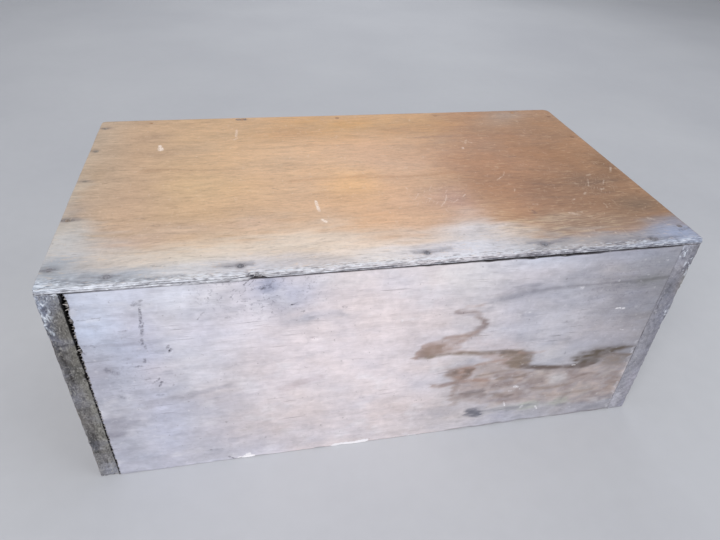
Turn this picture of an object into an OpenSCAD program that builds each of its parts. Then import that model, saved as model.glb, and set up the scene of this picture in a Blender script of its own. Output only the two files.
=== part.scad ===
// Wooden apple crate, nailed together from four boards and a plywood floor sheet.
// It stands on its open rim, with the floor sheet on top. Turned over, it is ready for use.
// The origin is at the middle of the rim's outline, +X runs along the side boards, and the front is -Y.

/* [Crate] */
// Outer length, along the side boards
crate_l = 500; // [420:1:620]
// Outer width, across the side boards
crate_w = 282; // [220:1:360]
// Height of the boards, from the open rim to the floor sheet
board_h = 201; // [180:1:260]

/* [Boards] */
// Thickness of the front and back side boards
side_t = 16; // [14:0.5:22]
// Thickness of the left end board
left_end_t = 15.5; // [14:0.5:22]
// Thickness of the right end board
right_end_t = 17.5; // [14:0.5:22]
// Gap that the front board's slanted saw cut leaves under the floor sheet
saw_gap = 2.5; // [0.5:0.1:4]
// Height above the rim at which that gap closes
saw_gap_foot = 110; // [40:1:160]

/* [Floor sheet] */
// Thickness of the plywood
sheet_t = 4; // [3:0.5:6]
// Radius of the worn left corner at the back
left_corner_r = 5; // [1:0.5:12]
// Radius of the worn right corner at the back
right_corner_r = 8; // [1:0.5:12]
// Radius of the two worn corners at the front
front_corner_r = 2; // [1:0.5:12]
// Width of the broken-out notch in the front edge
notch_w = 9; // [4:0.5:20]
// Depth of the notch
notch_depth = 2.2; // [1:0.1:5]

/* [Nails] */
// Diameter of a nail's shank
nail_d = 2.5; // [2:0.1:3.5]
// Diameter of a nail's head
nail_head_d = 5; // [4.5:0.1:7]
// Length of the nails through the floor sheet
floor_nail_l = 40; // [25:1:40]
// Length of the nails through the end boards
corner_nail_l = 45; // [30:1:60]
// Depth of a nail's head below the wood's surface
nail_sink = 0.2; // [0.1:0.1:0.5]

/* [Hidden] */

$fn = 32;

// Signs that pick an end or a side of the crate
LEFT = -1;
RIGHT = 1;
FRONT = -1;
BACK = 1;

half_l = crate_l / 2;
half_w = crate_w / 2;
crate_h = board_h + sheet_t;
left_joint_x = left_end_t - half_l;
right_joint_x = half_l - right_end_t;

// Place of the notch along the front edge, as a share of the crate's length from its middle
notch_share = -0.21;

// Nail heads have a straight rim above a short cone, and nails end in a point.
head_rim_t = 0.6;
head_t = 1.4;
nail_point_l = 4;
// Room cut above a sunk head, up past the wood's surface
headroom = 1;

// Floor nails, set by hand and not quite in line. Along the sides each is a share of the crate's
// length from its middle, and an inset from the long edge. Along the ends it is a share of the width,
// and an inset from the short edge.
front_row = [[-0.41, 9.5], [-0.233, 11], [0.04, 10], [0.23, 9.5], [0.415, 6]];
back_row = [[-0.4, 8], [-0.216, 4.5], [-0.01, 7.5], [0.215, 9], [0.405, 7]];
left_row = [[-0.423, 6.5], [-0.195, 6], [0.035, 6.5], [0.245, 6], [0.434, 6.5]];
right_row = [[-0.425, 8], [-0.215, 8.5], [-0.02, 7.5], [0.22, 9], [0.425, 8]];

// Heights of the corner nails as shares of the boards' height, and how each corner's three are shifted
corner_rises = [0.17, 0.48, 0.76];
front_left_shift = 0;
front_right_shift = 0.02;
back_left_shift = -0.03;
back_right_shift = 0.01;

aged_board = [0.74, 0.70, 0.68];
end_board = [0.52, 0.50, 0.47];
plywood = [0.72, 0.54, 0.36];
rusty_iron = [0.24, 0.19, 0.16];

// A nail that points down, with the top of its head at z = 0. A cutter has room above the head.
module nail(length, room = 0) {
  rotate_extrude()
    polygon([
      [0, room],
      [nail_head_d / 2, room],
      [nail_head_d / 2, -head_rim_t],
      [nail_d / 2, -head_t],
      [nail_d / 2, nail_point_l - length],
      [0, -length]
    ]);
}

// Nails through the floor sheet into a side board
module side_row_nails(row, side, room = 0) {
  for (spot = row)
    translate([spot[0] * crate_l, side * (half_w - spot[1]), crate_h - nail_sink])
      nail(floor_nail_l, room);
}

// Nails through the floor sheet into an end board
module end_row_nails(row, end, room = 0) {
  for (spot = row)
    translate([end * (half_l - spot[1]), spot[0] * crate_w, crate_h - nail_sink])
      nail(floor_nail_l, room);
}

// Nails through an end board into the end of a side board
module corner_nails(end, side, shift, room = 0) {
  for (rise = corner_rises)
    translate([end * (half_l - nail_sink), side * (half_w - side_t / 2), (rise + shift) * board_h])
      rotate([0, end * 90, 0])
        nail(corner_nail_l, room);
}

// What is cut from a sheet's corner to round it, for a corner at the origin of the quarter x > 0, y > 0
module corner_waste(r) {
  translate([-r, -r])
    difference() {
      square(2 * r);
      circle(r);
    }
}

module sheet_outline() {
  difference() {
    square([crate_l, crate_w], center = true);
    translate([-half_l, half_w])
      mirror([1, 0])
        corner_waste(left_corner_r);
    translate([half_l, half_w])
      corner_waste(right_corner_r);
    translate([-half_l, -half_w])
      rotate(180)
        corner_waste(front_corner_r);
    translate([half_l, -half_w])
      mirror([0, 1])
        corner_waste(front_corner_r);
    translate([notch_share * crate_l, -half_w])
      polygon([[-notch_w / 2, -1], [notch_w / 2, -1], [notch_w / 4, notch_depth], [-notch_w / 5, notch_depth]]);
  }
}

module floor_sheet() {
  color(plywood)
    difference() {
      translate([0, 0, board_h])
        linear_extrude(sheet_t)
          sheet_outline();
      side_row_nails(front_row, FRONT, headroom);
      side_row_nails(back_row, BACK, headroom);
      end_row_nails(left_row, LEFT, headroom);
      end_row_nails(right_row, RIGHT, headroom);
    }
}

// The front board's left end is square up to the foot of the gap, and slants away from there.
module front_side_board() {
  color(aged_board)
    difference() {
      translate([0, side_t - half_w, 0])
        rotate([90, 0, 0])
          linear_extrude(side_t)
            polygon([
              [left_joint_x, 0],
              [right_joint_x, 0],
              [right_joint_x, board_h],
              [left_joint_x + saw_gap, board_h],
              [left_joint_x, saw_gap_foot]
            ]);
      side_row_nails(front_row, FRONT);
      corner_nails(LEFT, FRONT, front_left_shift);
      corner_nails(RIGHT, FRONT, front_right_shift);
    }
}

module back_side_board() {
  color(aged_board)
    difference() {
      translate([left_joint_x, half_w - side_t, 0])
        cube([right_joint_x - left_joint_x, side_t, board_h]);
      side_row_nails(back_row, BACK);
      corner_nails(LEFT, BACK, back_left_shift);
      corner_nails(RIGHT, BACK, back_right_shift);
    }
}

module left_end_board() {
  color(end_board)
    difference() {
      translate([-half_l, -half_w, 0])
        cube([left_end_t, crate_w, board_h]);
      end_row_nails(left_row, LEFT);
      corner_nails(LEFT, FRONT, front_left_shift, headroom);
      corner_nails(LEFT, BACK, back_left_shift, headroom);
    }
}

module right_end_board() {
  color(end_board)
    difference() {
      translate([right_joint_x, -half_w, 0])
        cube([right_end_t, crate_w, board_h]);
      end_row_nails(right_row, RIGHT);
      corner_nails(RIGHT, FRONT, front_right_shift, headroom);
      corner_nails(RIGHT, BACK, back_right_shift, headroom);
    }
}

module floor_nails_front() {
  color(rusty_iron)
    side_row_nails(front_row, FRONT);
}

module floor_nails_back() {
  color(rusty_iron)
    side_row_nails(back_row, BACK);
}

module floor_nails_left() {
  color(rusty_iron)
    end_row_nails(left_row, LEFT);
}

module floor_nails_right() {
  color(rusty_iron)
    end_row_nails(right_row, RIGHT);
}

module corner_nails_front_left() {
  color(rusty_iron)
    corner_nails(LEFT, FRONT, front_left_shift);
}

module corner_nails_front_right() {
  color(rusty_iron)
    corner_nails(RIGHT, FRONT, front_right_shift);
}

module corner_nails_back_left() {
  color(rusty_iron)
    corner_nails(LEFT, BACK, back_left_shift);
}

module corner_nails_back_right() {
  color(rusty_iron)
    corner_nails(RIGHT, BACK, back_right_shift);
}

floor_sheet();
front_side_board();
back_side_board();
left_end_board();
right_end_board();
floor_nails_front();
floor_nails_back();
floor_nails_left();
floor_nails_right();
corner_nails_front_left();
corner_nails_front_right();
corner_nails_back_left();
corner_nails_back_right();
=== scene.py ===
"""Wooden apple crate, standing on its open rim: aged boards, a worn plywood floor sheet and rusty nails.

Shapes and paint are worked out in millimetres in the crate's own frame, and the meshes are made in metres.
"""
import math

import bpy
import numpy as np
from mathutils import Euler, Matrix, Vector


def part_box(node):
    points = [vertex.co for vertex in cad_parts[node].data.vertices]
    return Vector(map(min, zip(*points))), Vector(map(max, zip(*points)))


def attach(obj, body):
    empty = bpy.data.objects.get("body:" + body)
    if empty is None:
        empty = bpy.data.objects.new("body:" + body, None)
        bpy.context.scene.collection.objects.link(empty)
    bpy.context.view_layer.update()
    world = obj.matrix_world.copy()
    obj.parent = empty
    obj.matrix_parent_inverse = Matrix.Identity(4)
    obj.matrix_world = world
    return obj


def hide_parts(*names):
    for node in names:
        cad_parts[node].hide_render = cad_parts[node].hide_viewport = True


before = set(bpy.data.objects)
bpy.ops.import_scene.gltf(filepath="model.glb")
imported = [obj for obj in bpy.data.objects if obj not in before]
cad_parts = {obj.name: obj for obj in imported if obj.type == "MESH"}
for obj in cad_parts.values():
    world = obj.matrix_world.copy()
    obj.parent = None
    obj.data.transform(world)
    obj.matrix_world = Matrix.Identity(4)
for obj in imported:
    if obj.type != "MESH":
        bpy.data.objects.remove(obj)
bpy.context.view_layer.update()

MM = 0.001
X, Y, Z = 0, 1, 2
# The two sides of an axis
LOW, HIGH = 0, 1


def box_mm(node):
    """Lowest and highest corner of a CAD node, in millimetres."""
    low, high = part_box(node)
    return np.array(low) / MM, np.array(high) / MM


SHEET_BOTTOM = box_mm("floor_sheet")[0][Z]
SHEET_TOP = box_mm("floor_sheet")[1][Z]
LEFT_JOINT = box_mm("left_end_board")[1][X]
RIGHT_JOINT = box_mm("right_end_board")[0][X]

# A noise size, in mm, so large that nothing changes along its axis
FAR = 400


# ---------------------------------------------------------------- colour and noise

def tint(red, green, blue):
    """A display colour, 0 to 255 a channel, as the linear colour that shaders use."""
    share = np.array([red, green, blue]) / 255
    return np.where(share <= 0.04045, share / 12.92, ((share + 0.055) / 1.055) ** 2.4)


def shader_colours(colour):
    """A display colour as the shaders' one. An array holds the shaders' colours already."""
    return tint(*colour) if isinstance(colour, tuple) else colour


def rgba(colour):
    """A display colour as a value for a shader socket."""
    return (*tint(*colour), 1.0)


def cell_value(cell, seed):
    """A repeatable number between 0 and 1 for each whole-numbered cell."""
    c = cell.astype(np.uint64)
    h = c[:, 0] * np.uint64(73856093) ^ c[:, 1] * np.uint64(19349663) ^ c[:, 2] * np.uint64(83492791)
    h = (h ^ np.uint64(seed * 2654435761)) & np.uint64(0xFFFFFFFF)
    h = ((h ^ (h >> np.uint64(15))) * np.uint64(2246822519)) & np.uint64(0xFFFFFFFF)
    h = ((h ^ (h >> np.uint64(13))) * np.uint64(3266489917)) & np.uint64(0xFFFFFFFF)
    return (h ^ (h >> np.uint64(16))).astype(float) / 0xFFFFFFFF


def noise(points, size, seed):
    """Smooth noise between -1 and 1. size is the width of its features in mm, one value or one per axis."""
    q = points / np.asarray(size, float) + seed * 7.31
    base = np.floor(q).astype(np.int64)
    t = q - base
    t = t * t * t * (t * (t * 6 - 15) + 10)
    total = np.zeros(len(points))
    for corner in range(8):
        step = np.array([corner & 1, corner >> 1 & 1, corner >> 2 & 1])
        weight = np.prod(np.where(step, t, 1 - t), axis=1)
        total += weight * cell_value(base + step, seed)
    return total * 2 - 1


def fractal(points, size, seed, octaves=3):
    """Noise with finer and weaker layers on top."""
    total = np.zeros(len(points))
    for layer in range(octaves):
        total += noise(points, np.asarray(size, float) / 2 ** layer, seed + layer) / 2 ** layer
    return total


def ramp(value, start, end):
    """0 before start, 1 past end, and a smooth rise between them. start may be the larger."""
    t = np.clip((value - start) / (end - start), 0, 1)
    return t * t * (3 - 2 * t)


def bell(offset, reach):
    """1 at no offset, falling off smoothly over the reach."""
    return np.exp(-(offset / reach) ** 2)


# ---------------------------------------------------------------- distances on a face

def route_distance(u, v, route):
    """Distance from each point to a line through the route's points."""
    nearest = np.full(len(u), np.inf)
    for (au, av), (bu, bv) in zip(route, route[1:]):
        du, dv = bu - au, bv - av
        length2 = max(du * du + dv * dv, 1e-9)
        t = np.clip(((u - au) * du + (v - av) * dv) / length2, 0, 1)
        nearest = np.minimum(nearest, np.hypot(u - au - t * du, v - av - t * dv))
    return nearest


def outline_distance(u, v, outline):
    """Distance from each point to a closed outline, negative inside it."""
    loop = outline + outline[:1]
    inside = np.zeros(len(u), bool)
    for (au, av), (bu, bv) in zip(loop, loop[1:]):
        if av != bv:
            crosses = (av > v) != (bv > v)
            inside ^= crosses & (u < (bu - au) * (v - av) / (bv - av) + au)
    return np.where(inside, -1, 1) * route_distance(u, v, loop)


class Canvas:
    """Colour laid over a board's points by given zones, patches and lines on one of its faces.
    u and v are the points' places on that face, and on_face says how far each point belongs to it."""

    def __init__(self, u, v, ground, on_face):
        self.u = u
        self.v = v
        self.on_face = on_face
        self.colour = np.zeros((len(u), 3)) + shader_colours(ground)

    def lay(self, colour, amount):
        share = np.clip(amount * self.on_face, 0, 1)[:, None]
        self.colour = self.colour + (shader_colours(colour) - self.colour) * share

    def shade(self, change):
        """Makes each point lighter or darker by a share of its colour."""
        self.colour = self.colour * (1 + change)[:, None]

    def zones(self, rows):
        """Soft ovals: colour, strength, centre, reach along u and v."""
        for colour, strength, (cu, cv), (ru, rv) in rows:
            self.lay(colour, strength * bell((self.u - cu) / ru, 1) * bell((self.v - cv) / rv, 1))

    def patches(self, rows):
        """Filled outlines: colour, strength, softness of the edge, outline."""
        for colour, strength, soft, outline in rows:
            self.lay(colour, strength * ramp(outline_distance(self.u, self.v, outline), soft, -soft))

    def lines(self, rows):
        """Lines: colour, strength, half width, route."""
        for colour, strength, half_width, route in rows:
            distance = route_distance(self.u, self.v, route)
            self.lay(colour, strength * ramp(distance, half_width * 1.5, half_width * 0.3))


# ---------------------------------------------------------------- meshes

def graded(low, high, fine, coarse, growth):
    """Grid lines from low to high, close together at both ends and evenly spaced between."""
    steps = []
    step = fine
    while step < coarse:
        steps.append(step)
        step *= growth
    rim = np.concatenate([[0], np.cumsum(steps)])
    count = max(2, round((high - low - 2 * rim[-1]) / coarse))
    middle = np.linspace(low + rim[-1], high - rim[-1], count + 1)
    return np.concatenate([low + rim[:-1], middle, high - rim[-2::-1]])


def box_lattice(lines):
    """Points and faces of a closed box whose six sides are gridded along the given lines of each axis."""
    shape = [len(line) for line in lines]
    place = np.indices(shape)
    skin = np.zeros(shape, bool)
    for axis in range(3):
        skin |= (place[axis] == 0) | (place[axis] == shape[axis] - 1)
    index = np.full(shape, -1)
    index[skin] = np.arange(skin.sum())
    points = np.stack([lines[axis][place[axis][skin]] for axis in range(3)], axis=1)
    faces = []
    for axis in range(3):
        for side in (LOW, HIGH):
            sheet = np.take(index, -side, axis=axis)
            quads = np.stack([sheet[:-1, :-1], sheet[1:, :-1], sheet[1:, 1:], sheet[:-1, 1:]], axis=-1)
            turned = (axis == Y) != (side == LOW)
            faces.append((quads[:, :, ::-1] if turned else quads).reshape(-1, 4))
    return points, np.concatenate(faces)


class Board:
    """A board as a finely gridded box. flat holds its points as a square box has them, at holds them as
    they are shaped, and out is the outward direction at each."""

    def __init__(self, node, lines, edge_radius):
        self.node = node
        self.low, self.high = box_mm(node)
        self.flat, self.faces = box_lattice(lines(self.low, self.high))
        reach = np.minimum(edge_radius(self.flat), (self.high - self.low).min() * 0.49)[:, None]
        core = np.clip(self.flat, self.low + reach, self.high - reach)
        away = self.flat - core
        self.at = core + away / np.linalg.norm(away, axis=1, keepdims=True) * reach
        self.out = outward(self.at, self.faces)
        self.colour = None
        self.sawn = np.zeros(len(self.flat))
        self.gloss = np.zeros(len(self.flat))

    def depth(self, axis, side):
        """How far each square point lies inside the face on that side of the axis."""
        if side == LOW:
            return self.flat[:, axis] - self.low[axis]
        return self.high[axis] - self.flat[:, axis]

    def facing(self, axis, side, reach=1.5):
        """1 on the face on that side of the axis, falling to 0 just behind it."""
        return ramp(self.depth(axis, side), reach, 0.1)

    def push(self, amount):
        """Moves the points outwards by an amount each, or inwards where it is negative."""
        self.at += self.out * amount[:, None]

    def add(self, points, faces, colour):
        """Adds a small separate solid of bare sawn wood, such as a splinter."""
        self.faces = np.concatenate([self.faces, faces + len(self.at)])
        self.at = np.concatenate([self.at, points])
        self.colour = np.concatenate([self.colour, np.tile(colour, (len(points), 1))])
        self.sawn = np.concatenate([self.sawn, np.ones(len(points))])
        self.gloss = np.concatenate([self.gloss, np.zeros(len(points))])

    def lift(self, axis, side):
        """A function that turns two places on a face of the board into a point."""
        level = (self.low, self.high)[side][axis]
        return lambda u, v: np.insert(np.array([u, v], float), axis, level)

    def make(self, name, material):
        return make_piece(name, self.at, self.faces, material, self.node,
                          self.colour, self.sawn, self.gloss)


def make_piece(name, points, faces, material, node, colour=None, sawn=None, gloss=None):
    """A piece of the object from points in mm, with its paint stored on its points."""
    mesh = bpy.data.meshes.new(name)
    mesh.from_pydata((points * MM).tolist(), [], [list(face) for face in faces])
    mesh.update()
    mesh.shade_smooth()
    if colour is not None:
        layer = mesh.attributes.new("wash", "FLOAT_COLOR", "POINT")
        opaque = np.concatenate([np.clip(colour, 0, 1), np.ones((len(colour), 1))], axis=1)
        layer.data.foreach_set("color", opaque.astype(np.float32).ravel())
    for layer_name, values in (("sawn", sawn), ("gloss", gloss)):
        if values is not None:
            layer = mesh.attributes.new(layer_name, "FLOAT", "POINT")
            layer.data.foreach_set("value", values.astype(np.float32))
    mesh.materials.append(material)
    piece = bpy.data.objects.new(name, mesh)
    bpy.context.scene.collection.objects.link(piece)
    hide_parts(node)
    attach(piece, "root")


# ---------------------------------------------------------------- shaders

class Shader:
    """A material's node tree, with a short call for each kind of node used here."""

    def __init__(self, name):
        self.material = bpy.data.materials.new(name)
        self.material.use_nodes = True
        self.tree = self.material.node_tree
        self.surface = self.tree.nodes["Principled BSDF"]
        self.point = self.node("TexCoord").outputs["Object"]

    def node(self, kind, inputs=(), **settings):
        node = self.tree.nodes.new("ShaderNode" + kind)
        for key, value in settings.items():
            setattr(node, key, value)
        for socket, value in inputs:
            if isinstance(value, bpy.types.NodeSocket):
                self.tree.links.new(value, node.inputs[socket])
            else:
                node.inputs[socket].default_value = value
        return node

    def math(self, operation, a, b=0.0, c=0.0):
        return self.node("Math", [(0, a), (1, b), (2, c)], operation=operation).outputs[0]

    def times(self, a, b):
        return self.math("MULTIPLY", a, b)

    def vector(self, operation, a, b=(0, 0, 0), out=0):
        return self.node("VectorMath", [(0, a), (1, b)], operation=operation).outputs[out]

    def noise(self, scale, detail=2.0, distortion=0.0, at=None):
        """Noise between 0 and 1. scale is the number of features per metre along each axis."""
        place = self.vector("MULTIPLY", self.point if at is None else at, scale)
        node = self.node("TexNoise", [("Vector", place), ("Scale", 1.0), ("Detail", detail),
                                      ("Distortion", distortion)])
        return node.outputs[0]

    def fit(self, value, low, high, to_low=0.0, to_high=1.0):
        """value from the span low to high, mapped onto the other span and held there at both ends."""
        node = self.node("MapRange", [("Value", value), ("From Min", low), ("From Max", high),
                                      ("To Min", to_low), ("To Max", to_high)])
        return node.outputs[0]

    def mix(self, share, a, b):
        return self.node("Mix", [(0, share), (6, a), (7, b)], data_type="RGBA").outputs[2]

    def cover(self, colour, paint, share):
        """A colour covered by a share of paint, which is a display colour."""
        return self.mix(share, colour, rgba(paint))

    def brighten(self, colour, factor):
        return self.node("HueSaturation", [("Color", colour), ("Value", factor)]).outputs[0]

    def attribute(self, name, socket="Fac"):
        return self.node("Attribute", attribute_name=name).outputs[socket]

    def axis(self, number):
        return self.node("SeparateXYZ", [(0, self.point)]).outputs[number]

    def along(self, axis, start, end, to_start=0.0, to_end=1.0):
        """A rise from one value to another between two places along an axis, in mm."""
        return self.fit(self.axis(axis), start * MM, end * MM, to_start, to_end)

    def total(self, *values):
        result = values[0]
        for value in values[1:]:
            result = self.math("ADD", result, value)
        return result

    def near(self, centre, reach, fade):
        """1 round a centre and 0 outside the reach, both in mm along each axis. fade is the share of the
        reach that is soft."""
        away = self.vector("SUBTRACT", self.point, tuple(np.array(centre) * MM))
        away = self.vector("MULTIPLY", away, tuple(1 / (np.array(reach) * MM)))
        return self.fit(self.vector("LENGTH", away, out=1), 1.0, 1.0 - fade)

    def swing(self, value, amount):
        """value between 0 and 1 as an amount either way about 0."""
        return self.times(self.math("SUBTRACT", value, 0.5), amount * 2)

    def stroke(self, place, start, end, radius, strength):
        """A mark from start to end, in mm. It is its strength along the middle, and sinks below 0 outside."""
        run = (end - start) * MM
        if run @ run == 0:
            distance = self.vector("DISTANCE", place, tuple(start * MM), out=1)
        else:
            along = self.vector("SUBTRACT", place, tuple(start * MM))
            share = self.vector("DOT_PRODUCT", along, tuple(run / (run @ run)), out=1)
            # The nodes' own clamp option would be worked out last, and too many strokes would wait for it.
            share = self.math("MINIMUM", self.math("MAXIMUM", share, 0.0), 1.0)
            foot = self.node("VectorMath", [(0, tuple(run)), ("Scale", share)], operation="SCALE").outputs[0]
            distance = self.vector("DISTANCE", along, foot, out=1)
        slope = strength / (0.8 * radius * MM)
        height = self.math("MULTIPLY_ADD", distance, -slope, slope * 1.35 * radius * MM)
        return self.math("MINIMUM", height, strength)

    def strokes(self, rows, lift, wobble=1.7):
        """The strongest of many strokes, each from one place to another, or at one place only. lift turns
        a place's two numbers into a point on the face, and wobble is how far the strokes wander, in mm."""
        warp = self.node("TexNoise", [("Vector", self.point), ("Scale", 380.0), ("Detail", 4.0)])
        warp = self.vector("SUBTRACT", warp.outputs["Color"], (0.5, 0.5, 0.5))
        warp = self.vector("MULTIPLY", warp, (wobble * MM,) * 3)
        place = self.vector("ADD", self.point, warp)
        strongest = None
        for *ends, radius, strength in rows:
            share = self.stroke(place, lift(*ends[:2]), lift(*ends[-2:]), radius, strength)
            strongest = share if strongest is None else self.math("MAXIMUM", strongest, share)
        patchy = self.fit(self.noise((700, 700, 700), detail=4.0), 0.38, 0.6, 0.2, 1.0)
        return self.times(self.math("MAXIMUM", strongest, 0.0), patchy)

    def pits(self, colour, place):
        """Fine dark dots and short smears where place is 1."""
        dot = self.fit(self.noise((430, 430, 520), detail=2.0, distortion=0.4), 0.6, 0.67)
        smear = self.fit(self.noise((130, 130, 260), detail=4.0), 0.55, 0.7, 0.0, 0.45)
        share = self.times(self.math("MAXIMUM", dot, smear), place)
        return self.cover(colour, (108, 106, 122), self.times(share, 0.6))

    def flakes(self, colour, place, scale):
        """Pale cold flakes with dark cracks between them where place is 1."""
        skin = self.noise(scale, detail=5.0, distortion=0.5)
        pale = self.times(self.fit(skin, 0.52, 0.62, 0.0, 0.75), place)
        dark = self.times(self.fit(skin, 0.46, 0.38, 0.0, 0.65), place)
        colour = self.cover(colour, (222, 229, 240), pale)
        return self.cover(colour, (90, 92, 106), dark)

    def relief(self, height, depth):
        """Bump from a height between 0 and 1 that stands for a depth in mm."""
        node = self.node("Bump", [("Height", height), ("Distance", depth * MM), ("Strength", 1.0)])
        self.tree.links.new(node.outputs[0], self.surface.inputs["Normal"])

    def finish(self, colour, roughness):
        self.tree.links.new(colour, self.surface.inputs["Base Color"])
        self.tree.links.new(roughness, self.surface.inputs["Roughness"])
        self.surface.inputs["Specular IOR Level"].default_value = 0.35
        return self.material


# Width of one year's growth in the boards, mm
RING_WIDTH = 5.5


def stretch(grain, along, across):
    """Noise scale with different values along the grain's axis and across it."""
    return tuple(along if axis == grain else across for axis in range(3))


def growth_rings(s, grain, pith):
    """1 on the dark late part of each ring. The rings are shells round the pith, with a slow wander."""
    wander = s.swing(s.noise(stretch(grain, 5, 22), detail=2.0), 9 * MM)
    away = s.vector("SUBTRACT", s.point, tuple(np.array(pith) * MM))
    away = s.vector("MULTIPLY", away, stretch(grain, 0.02, 1.0))
    shell = s.total(s.vector("LENGTH", away, out=1), wander)
    ring = s.math("FRACT", s.times(shell, 1 / (RING_WIDTH * MM)))
    return s.times(s.fit(ring, 0.35, 0.86), s.fit(ring, 1.0, 0.9))


def torn_wood(s, colour, pore, tear, tearing):
    """Colour of a sawn end: open pores, torn slanting fibres and dirt."""
    rough = s.total(1.0, s.swing(pore, 0.5 * tearing), s.swing(tear, 0.7 * tearing))
    torn = s.cover(s.brighten(colour, rough), (158, 156, 152), s.fit(tear, 0.54, 0.72, 0.0, tearing))
    return s.cover(torn, (58, 54, 53), s.fit(tear, 0.44, 0.3, 0.0, 0.8 * tearing))


def board_material(name, grain, pith, rings, contrast, tearing, dark_marks, pale_marks, lift,
                   pitted=(), flaked=()):
    """Bare aged wood. grain is the axis it runs along, pith is a point on the heart line in mm, rings is how
    strongly the growth rings show, contrast how uneven the wood is, and tearing how rough the sawn ends are.
    pitted and flaked are places, each a centre and a reach in mm, and for pitted ones a strength."""
    s = Shader(name)
    wash = s.attribute("wash", "Color")
    sawn = s.attribute("sawn")
    fibre = s.noise(stretch(grain, 110, 1100), detail=3.0)
    streak = s.noise(stretch(grain, 26, 190), detail=4.0, distortion=0.5)
    cloud = s.noise((46, 46, 60), detail=5.0)
    blotch = s.noise((150, 150, 190), detail=3.0, distortion=0.8)

    # Broad faint bands across the grain, left by the saw
    saw = s.noise((140, 140, 14), detail=4.0, distortion=1.5)

    shade = s.total(1.0, s.swing(fibre, 0.16 * contrast), s.swing(streak, 0.16 * contrast),
                    s.swing(cloud, 0.26 * contrast), s.swing(blotch, 0.22 * contrast),
                    s.swing(saw, 0.05 * contrast), s.times(growth_rings(s, grain, pith), -rings))
    colour = s.brighten(wash, shade)

    # Cool grey weathering in patches
    weather = s.fit(s.noise((30, 30, 62), detail=5.0, distortion=0.4), 0.5, 0.72)
    colour = s.cover(colour, (158, 160, 176), s.times(weather, 0.3 * contrast))

    # Dry checks: short dark cracks along the grain
    check = s.fit(s.noise(stretch(grain, 26, 620), detail=3.0), 0.665, 0.73)
    check = s.times(check, s.fit(cloud, 0.45, 0.62))
    colour = s.cover(colour, (98, 90, 88), s.times(check, 0.24))

    pore = s.noise((780, 780, 780), detail=3.0)
    tear = s.noise((430, 430, 240), detail=5.0, distortion=1.6)
    colour = s.mix(s.times(sawn, 0.75), colour, torn_wood(s, colour, pore, tear, tearing))

    # Specks of dirt and dust
    speck = s.fit(s.noise((310, 310, 310), detail=3.0), 0.68, 0.75)
    colour = s.cover(colour, (104, 98, 100), s.times(speck, 0.35))
    dust = s.fit(s.noise((205, 205, 250), detail=4.0), 0.62, 0.74)
    colour = s.cover(colour, (228, 226, 230), s.times(dust, 0.25))

    for centre, reach, strength in pitted:
        colour = s.pits(colour, s.times(s.near(centre, reach, 0.8), strength))
    for centre, reach in flaked:
        colour = s.flakes(colour, s.near(centre, reach, 0.5), (480, 480, 300))

    colour = s.cover(colour, (76, 74, 86), s.strokes(dark_marks, lift))
    colour = s.cover(colour, (240, 238, 242), s.strokes(pale_marks, lift))

    torn_height = s.times(s.total(pore, s.times(tear, 2.0)), sawn)
    height = s.total(s.times(fibre, 0.5), s.times(streak, 0.3), s.times(blotch, 0.25),
                     s.times(check, -0.6), s.times(torn_height, 0.9 * tearing))
    s.relief(height, 0.5)
    return s.finish(colour, s.fit(streak, 0.3, 0.7, 0.72, 0.9))


def rub_varnish(s, colour, place):
    """Two rubbed places with fine crossing scratches, and a stretch of raised grain by the front edge."""
    rubbed = s.math("MAXIMUM", s.near((54, -52, SHEET_TOP), (38, 28, 40), 0.8),
                    s.times(s.near((206, -44, SHEET_TOP), (30, 32, 40), 0.8), 0.7))
    for turn, strength in ((0.5, 0.42), (-0.65, 0.3)):
        turned = s.node("Mapping", [("Vector", s.point), ("Rotation", (0, 0, turn))]).outputs[0]
        scratch = s.fit(s.noise((900, 90, 200), detail=3.0, distortion=0.5, at=turned), 0.6, 0.7)
        colour = s.cover(colour, (232, 212, 196), s.times(s.times(scratch, rubbed), strength))
    raised = s.near((142, -104, SHEET_TOP), (92, 28, 40), 0.7)
    comb = s.noise((62, 620, 400), detail=4.0, distortion=0.3, at=place)
    colour = s.cover(colour, (216, 194, 164), s.times(s.fit(comb, 0.51, 0.64, 0.0, 0.42), raised))
    return s.cover(colour, (122, 98, 80), s.times(s.fit(comb, 0.48, 0.36, 0.0, 0.45), raised))


def ply_edge(s, wash, torn):
    """Colour of the sheet's edge: pale and dark fibres, with a dark broken glue line low down and a
    fainter one above it, all of them strongest in front."""
    rise = s.times(s.math("SUBTRACT", s.axis(Z), SHEET_BOTTOM * MM), 1 / ((SHEET_TOP - SHEET_BOTTOM) * MM))
    rise = s.math("ADD", rise, s.swing(s.noise((70, 70, 400), detail=3.0), 0.22))
    lower_glue = s.fit(s.math("ABSOLUTE", s.math("SUBTRACT", rise, 0.34)), 0.15, 0.04)
    upper_glue = s.fit(s.math("ABSOLUTE", s.math("SUBTRACT", rise, 0.62)), 0.06, 0.015, 0.0, 0.6)
    glue = s.math("MAXIMUM", lower_glue, upper_glue)
    glue = s.times(glue, s.fit(s.noise((60, 60, 160), detail=4.0), 0.42, 0.54))
    glue = s.times(glue, s.along(Y, -136, -130, 1.0, 0.6))
    weathered = s.along(Y, -136, -130, 1.0, 0.2)
    pale = s.times(s.fit(torn, 0.54, 0.64, 0.0, 0.7), weathered)
    dark = s.times(s.fit(torn, 0.44, 0.35, 0.0, 0.6), weathered)
    colour = s.brighten(wash, s.total(1.0, s.swing(torn, 0.4)))
    colour = s.cover(colour, (236, 240, 247), pale)
    colour = s.cover(colour, (96, 92, 100), dark)
    return s.cover(colour, (66, 65, 76), s.times(glue, 0.85))


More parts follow.
